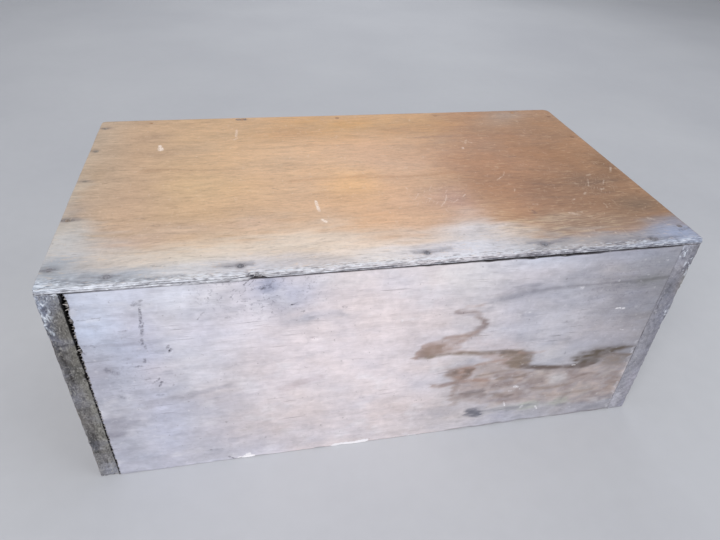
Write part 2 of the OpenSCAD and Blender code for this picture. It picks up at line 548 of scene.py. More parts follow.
def veneer_material(name, dark_marks, pale_marks, lift):
    """Rotary-cut veneer with an old worn varnish, and the sheet's layered edge."""
    s = Shader(name)
    wash = s.attribute("wash", "Color")
    edge = s.attribute("sawn")
    gloss = s.attribute("gloss")

    # The grain wanders sideways in slow waves.
    bend = s.noise((11, 20, 11), detail=2.0)
    sideways = s.node("CombineXYZ", [(1, s.swing(bend, 9 * MM))]).outputs[0]
    place = s.vector("ADD", s.point, sideways)
    fibre = s.noise((150, 1000, 1000), detail=3.0, at=place)
    dash = s.noise((105, 560, 560), detail=3.0, distortion=0.6, at=place)
    streak = s.noise((34, 210, 210), detail=4.0, distortion=0.4, at=place)
    band = s.noise((8, 52, 52), detail=3.0, at=place)
    cloud = s.noise((19, 24, 24), detail=4.0)
    grit = s.noise((420, 420, 420), detail=2.0)
    figure = s.math("FRACT", s.times(s.noise((5, 17, 17), detail=1.5, at=place), 15.0))
    late = s.times(s.fit(figure, 0.3, 0.85), s.fit(figure, 1.0, 0.88))

    shade = s.total(1.0, s.swing(fibre, 0.13), s.swing(streak, 0.17), s.swing(band, 0.13),
                    s.swing(cloud, 0.16), s.swing(grit, 0.1), s.times(late, -0.04))
    colour = s.brighten(wash, shade)
    colour = s.mix(s.fit(dash, 0.52, 0.7, 0.0, 0.42), colour, s.brighten(colour, 0.6))
    colour = s.cover(colour, (232, 202, 168), s.fit(dash, 0.42, 0.28, 0.0, 0.28))
    pore = s.fit(s.noise((95, 900, 900), detail=2.0, at=place), 0.66, 0.74)
    colour = s.cover(colour, (104, 76, 54), s.times(pore, 0.3))
    colour = rub_varnish(s, colour, place)

    # Scuffs: short pale rubs through the varnish
    scuff = s.fit(s.noise((240, 150, 200), detail=5.0, distortion=1.2), 0.61, 0.74)
    colour = s.cover(colour, (226, 204, 184), s.times(scuff, 0.26))
    dirt = s.fit(s.noise((330, 330, 330), detail=3.0), 0.69, 0.76)
    colour = s.cover(colour, (98, 80, 66), s.times(dirt, 0.25))

    torn = s.noise((190, 190, 860), detail=5.0, distortion=0.6)
    colour = s.mix(edge, colour, ply_edge(s, wash, torn))

    # Along the front rim and at its left corner the face flakes.
    rim = s.times(s.along(Y, -133.5, -137.5), 0.75)
    crust = s.near((-244, -137, SHEET_TOP), (24, 11, 12), 0.6)
    face = s.math("SUBTRACT", 1.0, s.times(edge, 0.6))
    colour = s.flakes(colour, s.times(s.math("MAXIMUM", rim, crust), face), (210, 820, 760))

    colour = s.cover(colour, (84, 78, 84), s.strokes(dark_marks, lift))
    colour = s.cover(colour, (240, 222, 208), s.strokes(pale_marks, lift))

    height = s.total(s.times(fibre, 0.35), s.times(dash, -0.3), s.times(streak, 0.3), s.times(pore, -0.3),
                     s.times(scuff, -0.15), s.times(s.times(torn, edge), 1.2))
    s.relief(height, 0.28)
    dull = s.total(s.fit(cloud, 0.3, 0.7, 0.62, 0.78), s.times(gloss, -0.16), s.swing(streak, 0.06))
    return s.finish(colour, dull)


def nail_material(name, deep, mean, bright, rust=0.6):
    """Old iron: display colours of its hollows, its mean and its rubbed spots, and how much rust shows."""
    s = Shader(name)
    scale = s.noise((700, 700, 700), detail=4.0)
    patch = s.noise((260, 260, 260), detail=3.0)
    colour = s.mix(s.fit(scale, 0.35, 0.65), rgba(deep), rgba(mean))
    colour = s.cover(colour, (134, 104, 84), s.fit(patch, 0.54, 0.7, 0.0, rust))
    rubbed = s.fit(s.noise((420, 420, 420), detail=2.0), 0.6, 0.72)
    colour = s.cover(colour, bright, s.times(rubbed, 0.6))

    # The nails by the front rim have weathered grey with the wood there.
    weathered = s.mix(s.fit(scale, 0.35, 0.65), rgba((104, 103, 110)), rgba((146, 146, 154)))
    at_rim = s.times(s.along(Y, -108, -114, 0.0, 0.9), s.along(Z, 196, 200))
    colour = s.mix(at_rim, colour, weathered)
    s.surface.inputs["Metallic"].default_value = 0.1
    s.relief(s.total(scale, s.times(patch, 0.6)), 0.25)
    return s.finish(colour, s.fit(scale, 0.3, 0.7, 0.55, 0.85))


# ---------------------------------------------------------------- helpers for shaping and painting boards

# Spacing of the grid lines at a rim, mm
RIM_STEP = 0.35


def board_lines(coarse_x, coarse_y, coarse_z):
    """Grid lines of a board for Board, which hands over its lowest and highest corner."""
    def lines(low, high):
        return [graded(low[axis], high[axis], RIM_STEP, coarse, 1.3)
                for axis, coarse in enumerate((coarse_x, coarse_y, coarse_z))]
    return lines


def worn_radius(mean, spread, seed):
    """Edge radii that change along the edges."""
    def radius(flat):
        return np.maximum(mean + spread * noise(flat, 16, seed), 0.25)
    return radius


def outward(points, faces):
    """Outward direction at each point of a closed mesh."""
    corner = [points[faces[:, k]] for k in range(4)]
    across = np.cross(corner[2] - corner[0], corner[3] - corner[1])
    total = np.zeros_like(points)
    for k in range(4):
        for axis in range(3):
            total[:, axis] += np.bincount(faces[:, k], across[:, axis], len(points))
    return total / np.maximum(np.linalg.norm(total, axis=1, keepdims=True), 1e-9)


def along_stops(place, stops):
    """Shader colours between given stops, each a place and a display colour."""
    places = [stop for stop, _ in stops]
    colours = np.array([tint(*colour) for _, colour in stops])
    return np.stack([np.interp(place, places, channel) for channel in colours.T], axis=1)


def mottling(flat, size, seed):
    """Uneven strength for stains, about 1 on average."""
    fine = noise(flat, np.array(size) / 4, seed + 2)
    return np.clip(1 + 0.28 * fractal(flat, size, seed) + 0.28 * fine, 0.4, 1.2)


def dent(board, centre, reach, depth):
    """Sinks the points near a place on the surface."""
    distance = np.linalg.norm(board.flat - np.array(centre), axis=1)
    board.push(-depth * bell(distance, reach))


def dent_nail_seats(board, spots, depth, reach):
    for spot in spots:
        dent(board, spot, reach, depth)


def dents(board, axis, side, rows):
    """Several dents on one face: the place on it, reach and depth."""
    lift = board.lift(axis, side)
    for u, v, reach, depth in rows:
        dent(board, lift(u, v), reach, depth)


def seam_wear(board, depth, seed):
    """Uneven wear of the rims, where two outer faces meet."""
    inset = np.sort(np.minimum(board.flat - board.low, board.high - board.flat), axis=1)
    board.push(-depth * ramp(inset[:, 1], 3.0, 0.0) * ramp(noise(board.flat, 7, seed), 0.1, 0.9))


def sliver(foot, tip, width, thickness, steps=6):
    """A torn splinter as a thin strip that tapers from its foot to its tip, with a slight curl."""
    curl = np.array([0, -0.25, 0.3])
    corners = np.array([(0, -1, -1), (0, 1, -1), (0, 1, 1), (0, -1, 1)])
    points = []
    for step in range(steps + 1):
        share = step / steps
        middle = foot + (tip - foot) * share + curl * math.sin(share * 3.0)
        half = np.array([0, thickness, width]) * (1 - 0.85 * share) / 2
        points += [middle + half * corner for corner in corners]
    faces = [[3, 2, 1, 0]]
    for step in range(steps):
        ring = step * 4
        faces += [[ring + k, ring + (k + 1) % 4, ring + 4 + (k + 1) % 4, ring + 4 + k] for k in range(4)]
    last = steps * 4
    faces.append([last, last + 1, last + 2, last + 3])
    return np.array(points), np.array(faces)


def head_spots(node, axis, side):
    """Middle of each nail head's outer face in a CAD node of nails, in mm."""
    same_level = 0.05
    same_head = 8
    points = np.array([vertex.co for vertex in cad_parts[node].data.vertices]) / MM
    outermost = points[:, axis].max() if side == HIGH else points[:, axis].min()
    rim = points[abs(points[:, axis] - outermost) < same_level]
    spots = []
    while len(rim):
        near = np.linalg.norm(rim - rim[0], axis=1) < same_head
        spots.append((rim[near].min(axis=0) + rim[near].max(axis=0)) / 2)
        rim = rim[~near]
    return spots


# The nodes of nails, each with the axis that its nails lie along and the side that their heads are on
FLOOR_NAILS = {"floor_nails_" + row: (Z, HIGH) for row in ("front", "back", "left", "right")}
LEFT_NAILS = {"corner_nails_" + corner: (X, LOW) for corner in ("front_left", "back_left")}
RIGHT_NAILS = {"corner_nails_" + corner: (X, HIGH) for corner in ("front_right", "back_right")}
NAIL_WAYS = {**FLOOR_NAILS, **LEFT_NAILS, **RIGHT_NAILS}
NAIL_SPOTS = {node: head_spots(node, axis, side) for node, (axis, side) in NAIL_WAYS.items()}


# ---------------------------------------------------------------- front board

# Mean colours along the front board, from left to right. Their darkening to the right is painted shade.
FRONT_STOPS = [
    (-234, (176, 179, 193)), (-215, (187, 190, 204)), (-190, (193, 193, 207)), (-163, (203, 202, 211)),
    (-100, (218, 210, 215)), (-20, (225, 215, 218)), (30, (221, 212, 216)), (60, (208, 203, 208)),
    (100, (195, 191, 199)), (147, (184, 182, 190)), (178, (170, 167, 174)), (209, (154, 152, 160)),
    (232, (147, 146, 153)),
]

# Soft changes of tone: colour, strength, centre (x, z), reach
FRONT_ZONES = [
    ((200, 207, 226), 0.8, (-222, 168), (15, 20)), ((214, 217, 230), 0.5, (-212, 198), (22, 8)),
    ((163, 162, 175), 0.75, (-227, 124), (14, 20)), ((150, 150, 163), 0.6, (-219, 126), (8, 5)),
    ((156, 156, 168), 0.75, (-226, 62), (13, 16)), ((164, 164, 178), 0.6, (-224, 31), (12, 6)),
    ((190, 191, 207), 0.5, (-222, 12), (18, 14)), ((220, 223, 235), 0.65, (-165, 192), (26, 13)),
    ((184, 184, 200), 0.5, (-188, 150), (10, 40)), ((170, 171, 184), 0.45, (-188, 186), (6, 6)),
    ((176, 175, 190), 0.5, (-160, 78), (40, 9)), ((180, 176, 184), 0.45, (-165, 88), (26, 4)),
    ((180, 178, 192), 0.5, (-150, 40), (50, 16)), ((154, 158, 181), 0.8, (-97, 193), (13, 11)),
    ((180, 182, 200), 0.55, (-88, 178), (20, 14)), ((182, 180, 190), 0.5, (-64, 158), (26, 5)),
    ((230, 220, 225), 0.6, (-40, 122), (80, 40)), ((208, 198, 202), 0.6, (-78, 89), (16, 5)),
    ((226, 214, 214), 0.4, (-85, 68), (50, 20)), ((190, 188, 192), 0.45, (-122, 40), (7, 6)),
    ((206, 197, 200), 0.6, (-95, 38), (50, 18)), ((226, 225, 230), 0.7, (50, 190), (34, 18)),
    ((206, 196, 199), 0.55, (6, 42), (36, 18)), ((214, 210, 222), 0.6, (-146, 158), (22, 14)),
    ((166, 168, 184), 0.5, (-222, 100), (12, 12)), ((206, 197, 201), 0.5, (18, 120), (26, 26)),
    ((194, 188, 193), 0.6, (52, 28), (26, 16)), ((201, 206, 222), 0.8, (106, 198), (34, 9)),
    ((166, 164, 175), 0.55, (106, 166), (24, 7)), ((204, 203, 213), 0.6, (140, 157), (18, 9)),
    ((178, 180, 192), 0.5, (150, 192), (22, 12)), ((196, 195, 204), 0.6, (140, 118), (26, 26)),
    ((212, 209, 214), 0.8, (146, 92), (22, 11)), ((150, 149, 158), 0.55, (182, 165), (24, 9)),
    ((164, 164, 174), 0.4, (88, 158), (14, 5)), ((172, 177, 196), 0.6, (190, 195), (34, 8)),
    ((210, 217, 236), 0.5, (-200, 192), (34, 12)), ((228, 224, 228), 0.5, (-50, 194), (30, 8)),
    ((160, 160, 170), 0.4, (146, 178), (14, 5)), ((148, 149, 158), 0.4, (186, 182), (12, 5)),
    ((132, 132, 134), 0.85, (214, 167), (24, 7)), ((150, 151, 157), 0.5, (210, 186), (26, 10)),
    ((186, 183, 192), 0.65, (184, 106), (50, 16)), ((142, 140, 144), 0.5, (222, 131), (16, 9)),
    ((200, 196, 202), 0.5, (10, 10), (90, 12)), ((182, 180, 190), 0.65, (-150, 10), (66, 12)),
    ((176, 176, 190), 0.5, (-180, 70), (30, 12)), ((190, 184, 190), 0.5, (-140, 78), (24, 26)),
    ((160, 160, 168), 0.55, (140, 9), (14, 9)), ((188, 192, 212), 0.5, (-78, 186), (22, 14)),
    ((152, 151, 164), 0.5, (-228, 52), (10, 5)), ((158, 158, 172), 0.45, (-224, 70), (9, 7)),
    ((172, 178, 200), 0.35, (-205, 140), (12, 26)), ((186, 190, 208), 0.4, (-186, 40), (16, 26)),
    ((176, 168, 170), 0.5, (60, 88), (20, 14)), ((178, 168, 168), 0.55, (62, 55), (16, 20)),
    ((192, 192, 204), 0.6, (116, 7), (50, 8)), ((180, 176, 183), 0.6, (208, 8), (30, 9)),
    ((178, 180, 176), 0.5, (128, 21), (34, 7)),
]

# Colours that the water stains share
TAN = (206, 184, 178)
BROWN = (166, 142, 132)
OLIVE = (140, 125, 114)
UMBER = (112, 100, 94)
SLATE = (108, 109, 120)

# The part of the front board that water soaked, as an outline (x, z)
SOAKED = [
    (60, 67), (75, 72), (85, 78), (100, 80), (115, 77), (130, 76), (140, 73.5), (155, 71.5), (175, 70),
    (200, 72), (215, 66), (232, 68), (236, 60), (236, 20), (215, 14), (190, 18), (165, 22), (140, 26),
    (120, 29), (98, 33), (82, 38), (66, 42), (59, 47), (57, 53), (58, 60),
]

# Water stains as filled outlines: colour, strength, softness, outline (x, z)
FRONT_STAINS = [
    (TAN, 0.25, 9.0, [(48, 126), (70, 129), (90, 117), (112, 109), (120, 100), (100, 99), (75, 101),
     (56, 104)]),
    (BROWN, 0.7, 2.6, [(19, 103), (22, 110), (24, 117), (30, 119), (38, 121), (41, 124), (50, 125.5),
     (60, 126), (70, 128), (71, 124), (62, 119), (56, 115), (58, 108), (66, 104.5), (60, 103), (50, 104),
     (44, 103), (30, 102.5)]),
    ((150, 130, 120), 0.75, 3.5, [(21, 104), (25, 114), (32, 118), (42, 117), (46, 110), (40, 105),
     (30, 103)]),
    ((176, 163, 161), 0.75, 4.0, SOAKED),
    ((180, 164, 158), 0.6, 3.0, [(76, 88), (90, 93), (103, 89), (108, 79), (100, 75), (86, 73), (75, 75)]),
    ((178, 160, 154), 0.6, 3.0, [(63, 55), (64, 64), (78, 66), (94, 64), (96, 57), (84, 53), (72, 53)]),
    ((136, 120, 114), 0.55, 2.6, [(63, 46), (66, 52), (76, 53), (88, 52), (92, 47), (80, 45), (70, 43)]),
    ((142, 124, 118), 0.35, 3.0, [(97, 35), (99, 44), (110, 48), (124, 47), (131, 41), (126, 34),
     (110, 32)]),
    ((150, 132, 126), 0.5, 3.0, [(98, 58), (100, 70), (118, 74), (130, 70), (128, 58), (114, 54)]),
    ((194, 183, 179), 0.8, 4.0, [(132, 58), (138, 71), (152, 70), (152, 56)]),
    ((150, 134, 130), 0.25, 4.0, [(172, 36), (176, 58), (196, 62), (206, 48), (196, 34)]),
    ((176, 168, 166), 0.5, 3.0, [(172, 30), (180, 44), (200, 46), (208, 34), (196, 24)]),
    ((186, 176, 172), 0.45, 4.0, [(206, 52), (210, 64), (218, 62), (217, 50)]),
    (BROWN, 0.6, 3.0, [(75, 101), (90, 99.5), (107, 99.5), (118, 97.5), (124, 95), (125, 88), (129, 80),
     (129, 76), (118, 76), (110, 79), (103, 82), (100, 88), (92, 91), (80, 95)]),
    (OLIVE, 0.95, 3.0, [(97, 101), (118, 99.5), (126, 96), (127, 88), (131, 80), (129, 75), (118, 75),
     (110, 78), (105, 84), (106, 90), (98, 93)]),
    (BROWN, 0.95, 3.4, [(47, 79), (49, 85), (58, 87), (68, 88), (76, 85), (75, 78), (71, 71), (66, 66),
     (59, 69), (53, 75)]),
    (UMBER, 0.75, 2.8, [(48, 77), (50, 84), (58, 85.5), (60, 79), (55, 76)]),
    (UMBER, 0.6, 2.6, [(64, 70), (66, 84), (74, 83), (73, 77), (69, 70)]),
    ((98, 88, 80), 1.0, 3.6, [(170, 83), (179, 88), (190, 91), (205, 92.5), (219, 91), (229, 88), (216, 86),
     (206, 83), (200, 79), (197, 74), (190, 70), (183, 68.5), (174, 70), (176, 76), (173, 80)]),
    (OLIVE, 0.68, 3.5, [(198, 79), (212, 82), (227, 80), (233, 74), (222, 65), (212, 66), (202, 69)]),
    ((158, 140, 130), 0.45, 4.0, [(216, 30), (219, 50), (227, 58), (231, 44), (228, 28)]),
    ((132, 133, 144), 0.4, 2.4, [(206, 22), (214, 24), (221, 20), (224, 13), (215, 13)]),
    (SLATE, 1.0, 1.8, [(75, 24), (77.5, 29), (86, 30), (89.5, 26.5), (94, 23), (94, 15.5), (90, 14),
     (84, 16.5), (77.5, 18.5)]),
    ((200, 188, 184), 0.55, 3.0, [(95, 27), (98, 34), (112, 35), (114, 29), (104, 26)]),
    ((184, 186, 178), 0.75, 2.6, [(131, 17), (132, 27), (142, 29), (151, 25), (150, 17)]),
    ((176, 179, 170), 0.55, 3.0, [(160, 20), (166, 28), (180, 27), (184, 20), (172, 16)]),
    ((172, 172, 188), 0.6, 3.0, [(100, 14), (112, 20), (126, 18), (128, 11), (112, 9)]),
    ((146, 132, 130), 0.5, 3.0, [(132, 50), (134, 64), (150, 68), (152, 54), (142, 46)]),
    ((174, 160, 158), 0.5, 3.0, [(176, 56), (184, 64), (198, 62), (200, 54), (188, 50)]),
]

# Tide lines and streaks, and painted shadow along the foot: colour, strength, half width, route (x, z)
FRONT_STREAKS = [
    ((160, 143, 138), 0.7, 3.0, [(64, 126), (71, 129), (74, 134), (73, 139), (70, 144), (66, 148),
     (58, 150), (52, 150.5)]),
    ((138, 124, 122), 0.75, 4.0, [(70, 128), (74.5, 132), (74, 138)]),
    (BROWN, 0.35, 1.6, [(52, 153), (58, 156), (70, 156)]),
    (BROWN, 0.6, 1.9, [(20, 104), (23, 112), (25, 118), (38, 121.5), (42, 124.5), (60, 126), (70, 128)]),
    (OLIVE, 0.75, 2.6, [(30, 103), (50, 104.6), (63, 103), (75, 101.6), (85, 100.6), (95, 99.6),
     (107, 98.5)]),
    (UMBER, 0.6, 2.8, [(95, 99), (107, 98.5), (118, 96.5), (127, 94.5)]),
    (BROWN, 0.45, 1.8, [(112, 97), (127, 95), (137, 94)]),
    (BROWN, 0.5, 1.8, [(76, 87), (90, 88.5), (106, 90)]),
    (BROWN, 0.75, 2.6, [(37, 66), (45, 64.5), (52, 65), (60, 66), (68, 67), (78, 67.5), (90, 66)]),
    ((140, 122, 116), 0.6, 2.4, [(45, 64.8), (60, 66)]),
    ((152, 135, 128), 0.65, 3.8, [(61, 67), (59, 60), (58, 52), (60, 46), (62, 40)]),
    (UMBER, 0.4, 4.0, [(74, 50), (80, 50.5), (86, 49)]), (UMBER, 0.3, 2.4, [(88, 54), (91, 47)]),
    (UMBER, 0.35, 3.6, [(99, 45), (108, 43.5), (114, 40)]),
    (OLIVE, 0.45, 1.8, [(76, 72), (95, 74), (112, 75)]),
    (OLIVE, 0.5, 1.8, [(100, 66), (118, 65), (130, 67)]),
    ((112, 100, 96), 0.95, 3.2, [(124, 78), (132, 76), (140, 74.6), (150, 73), (165, 71.6), (176, 70.6),
     (192, 71.5)]),
    (UMBER, 0.55, 2.0, [(198, 80), (208, 81), (220, 79.5), (230, 77)]),
    (UMBER, 0.35, 2.0, [(182, 57), (196, 59), (206, 56)]),
    (OLIVE, 0.4, 2.2, [(140, 47), (160, 44), (178, 47)]),
    (OLIVE, 0.35, 2.2, [(150, 34), (176, 32), (204, 35)]),
    (SLATE, 0.4, 2.2, [(93, 22), (105, 23), (125, 22), (140, 23.5)]),
    ((132, 130, 137), 0.4, 2.0, [(112, 166), (130, 167.4), (148, 167)]),
    ((122, 120, 126), 0.35, 1.2, [(150, 168), (172, 167.4), (190, 167)]),
    ((98, 97, 100), 0.45, 1.8, [(190, 167), (200, 165.6), (214, 166.8), (222, 168.4), (236, 167.5)]),
    ((146, 146, 157), 0.4, 3.4, [(84, 160), (100, 163), (118, 165)]),
    ((140, 140, 152), 0.4, 2.6, [(94, 171), (104, 173), (114, 172)]),
    ((140, 140, 151), 0.3, 4.0, [(138, 176), (156, 184), (176, 190)]),
    ((150, 149, 158), 0.25, 2.6, [(150, 152), (176, 154), (206, 152)]),
    ((150, 149, 158), 0.35, 2.2, [(166, 136), (196, 133), (222, 134)]),
    ((164, 162, 173), 0.4, 4.6, [(-198, 83), (-178, 87), (-160, 90)]),
    ((158, 156, 167), 0.42, 3.2, [(-168, 88), (-156, 91), (-142, 94.5), (-130, 96)]),
    ((190, 176, 180), 0.5, 3.4, [(-92, 84), (-80, 88), (-62, 94)]),
    ((172, 171, 182), 0.4, 4.6, [(-88, 157), (-70, 159)]),
    ((166, 166, 178), 0.4, 3.6, [(-72, 160), (-56, 163), (-44, 162)]),
    ((158, 158, 172), 0.45, 1.8, [(-228, 152), (-214, 152), (-196, 150)]),
    ((148, 148, 160), 0.45, 3.4, [(-236, 72), (-226, 69), (-218, 72)]),
    ((140, 139, 152), 0.5, 3.4, [(-234, 54), (-224, 52), (-219, 53)]),
    ((154, 153, 166), 0.4, 3.0, [(-220, 62), (-212, 66)]),
    # A dark line along the foot at the right: painted shadow where the board meets the floor.
    ((120, 112, 112), 0.5, 1.2, [(60, 1), (150, 1.2), (232, 1)]),
    ((138, 142, 160), 0.5, 3.4, [(-98, 190), (-96, 199)]),
    ((198, 194, 196), 0.75, 7.0, [(160, 57), (163, 57)]),
    ((198, 196, 203), 0.5, 1.0, [(231.4, 3), (231.4, 95)]),
    ((150, 149, 158), 0.5, 1.0, [(231.8, 130), (231.8, 198)]),
]

# Pencil, dirt and worm marks, from place to place or at one place (x, z), then radius and strength
FRONT_DARK_MARKS = [
    (-66, 138, 1.0, 3.0), (-187.8, 171, -186.6, 183, 1.0, 0.7), (-187.5, 188, -184.5, 189.5, 1.0, 0.4),
    (-191, 185.5, -188, 187, 1.0, 0.45), (-189.5, 188, -186, 186, 1.3, 0.35),
    (-188.8, 166, -187.6, 169, 1.5, 0.7), (-189.4, 158, -188.4, 163, 1.2, 0.6),
    (-190.6, 149, -190, 154, 1.1, 0.6), (-189, 145, -188.6, 148, 1.0, 0.45),
    (-192, 131, -191.5, 134.5, 1.1, 0.6), (-199, 127.3, -195, 127.6, 1.1, 0.5),
    (-220, 127, -219, 128.5, 1.4, 0.4), (-218, 125, -214, 122, 2.6, 0.4),
    (-213, 127, -209, 126.6, 0.6, 0.35), (-231, 153, -224, 152.5, 0.6, 0.45),
    (-224, 152.5, -222.5, 150.5, 0.6, 0.45), (-233, 148, -230, 145, 0.7, 0.7),
    (-204, 163.2, -198, 163.8, 0.7, 0.35), (-228, 176.6, -213, 177.4, 0.5, 0.45),
    (-174.5, 143.5, -173, 145.5, 1.0, 0.6), (-173.5, 139.3, -171.8, 141.5, 1.0, 1.5),
    (-190, 107.5, -188.5, 109, 0.7, 0.6), (-186.5, 109.5, -184.5, 112, 0.8, 1.2),
    (-185.5, 104, -183.5, 107.5, 1.1, 1.8), (-195, 112.5, -191, 113, 1.0, 0.35),
    (-189, 94, -184, 93.6, 0.9, 0.4), (-216, 97, -213, 95, 1.8, 0.3), (-152.5, 195, 0.7, 0.5),
    (-141, 188, -140, 186, 0.6, 0.5), (-150, 168, -148.5, 170, 0.6, 0.4), (-147, 172, -145, 174, 0.6, 0.35),
    (-124, 183, -124, 183.5, 0.6, 0.45), (-121, 191, -120, 192, 0.6, 0.45),
    (-130, 167.3, -127, 167.5, 0.9, 0.35), (-103, 190.7, -100.5, 191.5, 1.1, 0.7),
    (-83, 173.5, -80.5, 174.5, 0.8, 1.0), (-75, 167, -73, 167, 0.8, 0.45), (-71.5, 180, 0.6, 0.5),
    (-66, 193.5, 0.7, 0.45), (-44, 167.5, -42, 167.2, 1.2, 0.35), (-115.5, 196, -109, 202, 0.4, 0.7),
    (-112, 195, -107, 200.5, 0.35, 0.7), (-166, 49.5, 1.0, 0.4), (-156, 17.7, 1.2, 0.4),
    (-109, 25, -108.5, 26.5, 0.8, 0.4), (-142, 5, -137, 0.5, 0.9, 0.7), (160, 89, 160, 91, 1.0, 0.35),
    (168, 67, 171, 64.5, 1.8, 0.35),
]

# Scratches and chips that show pale wood, in the same way
FRONT_PALE_MARKS = [
    (4, 148, 1.2, 0.5), (154, 165, 1.8, 0.45), (112, 143.2, 114, 143.5, 0.7, 0.5),
    (194, 138.5, 202, 137.5, 0.9, 0.8), (207, 112.5, 210.5, 111.3, 0.5, 0.5), (120, 52, 123, 51, 1.4, 0.8),
    (126, 48, 0.8, 0.4), (115.5, 47, 118, 46.5, 0.9, 0.5), (113.3, 32, 115.5, 27, 0.8, 0.8),
    (148.5, 20, 151, 15.5, 0.8, 0.9), (133, 21, 134, 23, 1.6, 0.5), (172, 72.5, 175.5, 72, 0.5, 0.9),
    (224, 187, 0.9, 0.5), (186, 169.5, 1.2, 0.4), (-168, 71.8, 0.9, 0.7), (-234, 81, -233, 81, 1.2, 0.8),
    (-182.5, 106.5, -181.5, 107.5, 0.7, 0.6), (-127.6, 2.4, -124.6, 4.4, 1.9, 3.0),
    (-123.4, 3.2, -121.4, 2.0, 1.6, 2.6), (-129.6, 1.0, -125, 1.0, 1.5, 2.4),
    (-134, 1.6, -132, 2.4, 0.9, 1.4), (-47.5, 1.5, -36, 2.0, 1.5, 3.2), (-37, 1.7, -27, 1.5, 1.2, 2.4),
    (-27, 2.0, -17, 2.5, 1.4, 3.2), (-50, 0.8, -46, 1.0, 1.0, 1.6), (22, 1.0, 30, 1.2, 0.8, 0.9),
]

# Chips along the open rim, from x to x
RIM_CHIPS = ((-130, -120), (-49, -16))

# The slanted saw cut at the left end: the gap's width under the sheet, and the height at which it closes
SAW_GAP = 2.5
SAW_FOOT = 110

# Fibres bitten out of the sawn arris: height, half height and depth
SAW_BITES = ((190, 3, 1.6), (176, 2, 1.1), (149, 3.5, 1.5), (122, 2.5, 0.8), (81, 1.6, 0.9))

# Long splinters of the sawn arris: height and length
LONG_SPLINTERS = [(190.5, 2.4), (187, 1.6), (176, 1.6), (149.5, 2.2), (147.2, 1.3), (160, 1.4),
                  (96, 1.6), (72, 1.3)]

# Worm hole, gouges and knocks: place (x, z), reach and depth
FRONT_DENTS = [(-66, 138, 1.4, 2.6), (-184.5, 105.5, 2.0, 1.2), (-172.5, 140.5, 1.7, 0.8),
               (-101.5, 191, 2.0, 0.6), (-216, 124, 4.5, 0.6), (121.5, 51.5, 2.2, 0.6), (198, 138, 2.4, 0.45)]

def saw_slant(height):
    """How far the saw cut has left the joint at a height."""
    return SAW_GAP / (SHEET_BOTTOM - SAW_FOOT) * np.maximum(height - SAW_FOOT, 0)


def shape_front_board(board):
    flat = board.flat
    left_end = ramp(board.depth(X, LOW), 16, 0)
    on_broad = np.maximum(board.facing(Y, LOW), board.facing(Y, HIGH))
    board.push(0.3 * fractal(flat, (150, FAR, 42), 21, 2) * on_broad)
    board.push(0.06 * noise(flat, (40, FAR, 3.2), 23) * on_broad)

    # The saw cut at the left end slants away from the joint, and its arris is torn.
    board.at[:, X] += saw_slant(flat[:, Z]) * left_end
    torn = ramp(board.depth(X, LOW), 2.5, 0)
    jag = 0.6 + 0.75 * noise(flat, (FAR, 5, 1.9), 25) + 0.4 * noise(flat, (FAR, 9, 7), 26)
    jag = np.clip(jag, 0, None) * (0.8 + 0.4 * ramp(flat[:, Z], 50, 160))
    board.at[:, X] += jag * torn * (0.45 + 0.55 * board.facing(Y, LOW, 5))
    for height, width, bite in SAW_BITES:
        board.at[:, X] += bite * torn * bell(flat[:, Z] - height, width) * board.facing(Y, LOW, 4)

    # The top edge lies just under the sheet, lower where the seam gapes, and the open rim is bruised.
    board.at[:, Z] -= 0.25 * board.facing(Z, HIGH)
    gape = ramp(flat[:, X], -40, 100) * (1 - 0.7 * ramp(flat[:, X], 160, 190)) * ramp(flat[:, X], 232, 224)
    gape *= 0.75 + 0.5 * noise(flat, (7, FAR, FAR), 24)
    board.at[:, Z] -= 1.6 * gape * ramp(board.depth(Z, HIGH), 4, 0) * ramp(board.depth(Y, LOW), 9, 3)
    bruise = ramp(board.depth(Z, LOW), 3.0, 0) * board.facing(Y, LOW, 4)
    board.at[:, Z] += bruise * ramp(noise(flat, (14, FAR, FAR), 27), 0.25, 0.8)
    low_rim = ramp(board.depth(Z, LOW), 2.4, 0.6) * board.facing(Y, LOW, 4)
    for start, end in RIM_CHIPS:
        reach = (end - start) / 2
        inside = ramp(abs(flat[:, X] - (start + end) / 2), reach + 1, reach - 1)
        board.at[:, Y] -= 0.45 * low_rim * inside * (1 + 0.5 * noise(flat, (3, FAR, 2), 28))
    board.at[:, Z] += 1.3 * bruise * ramp(flat[:, X], 40, 90) * ramp(noise(flat, (9, FAR, FAR), 30), 0.0, 0.8)
    dents(board, Y, LOW, FRONT_DENTS)
    seam_wear(board, 0.35, 29)


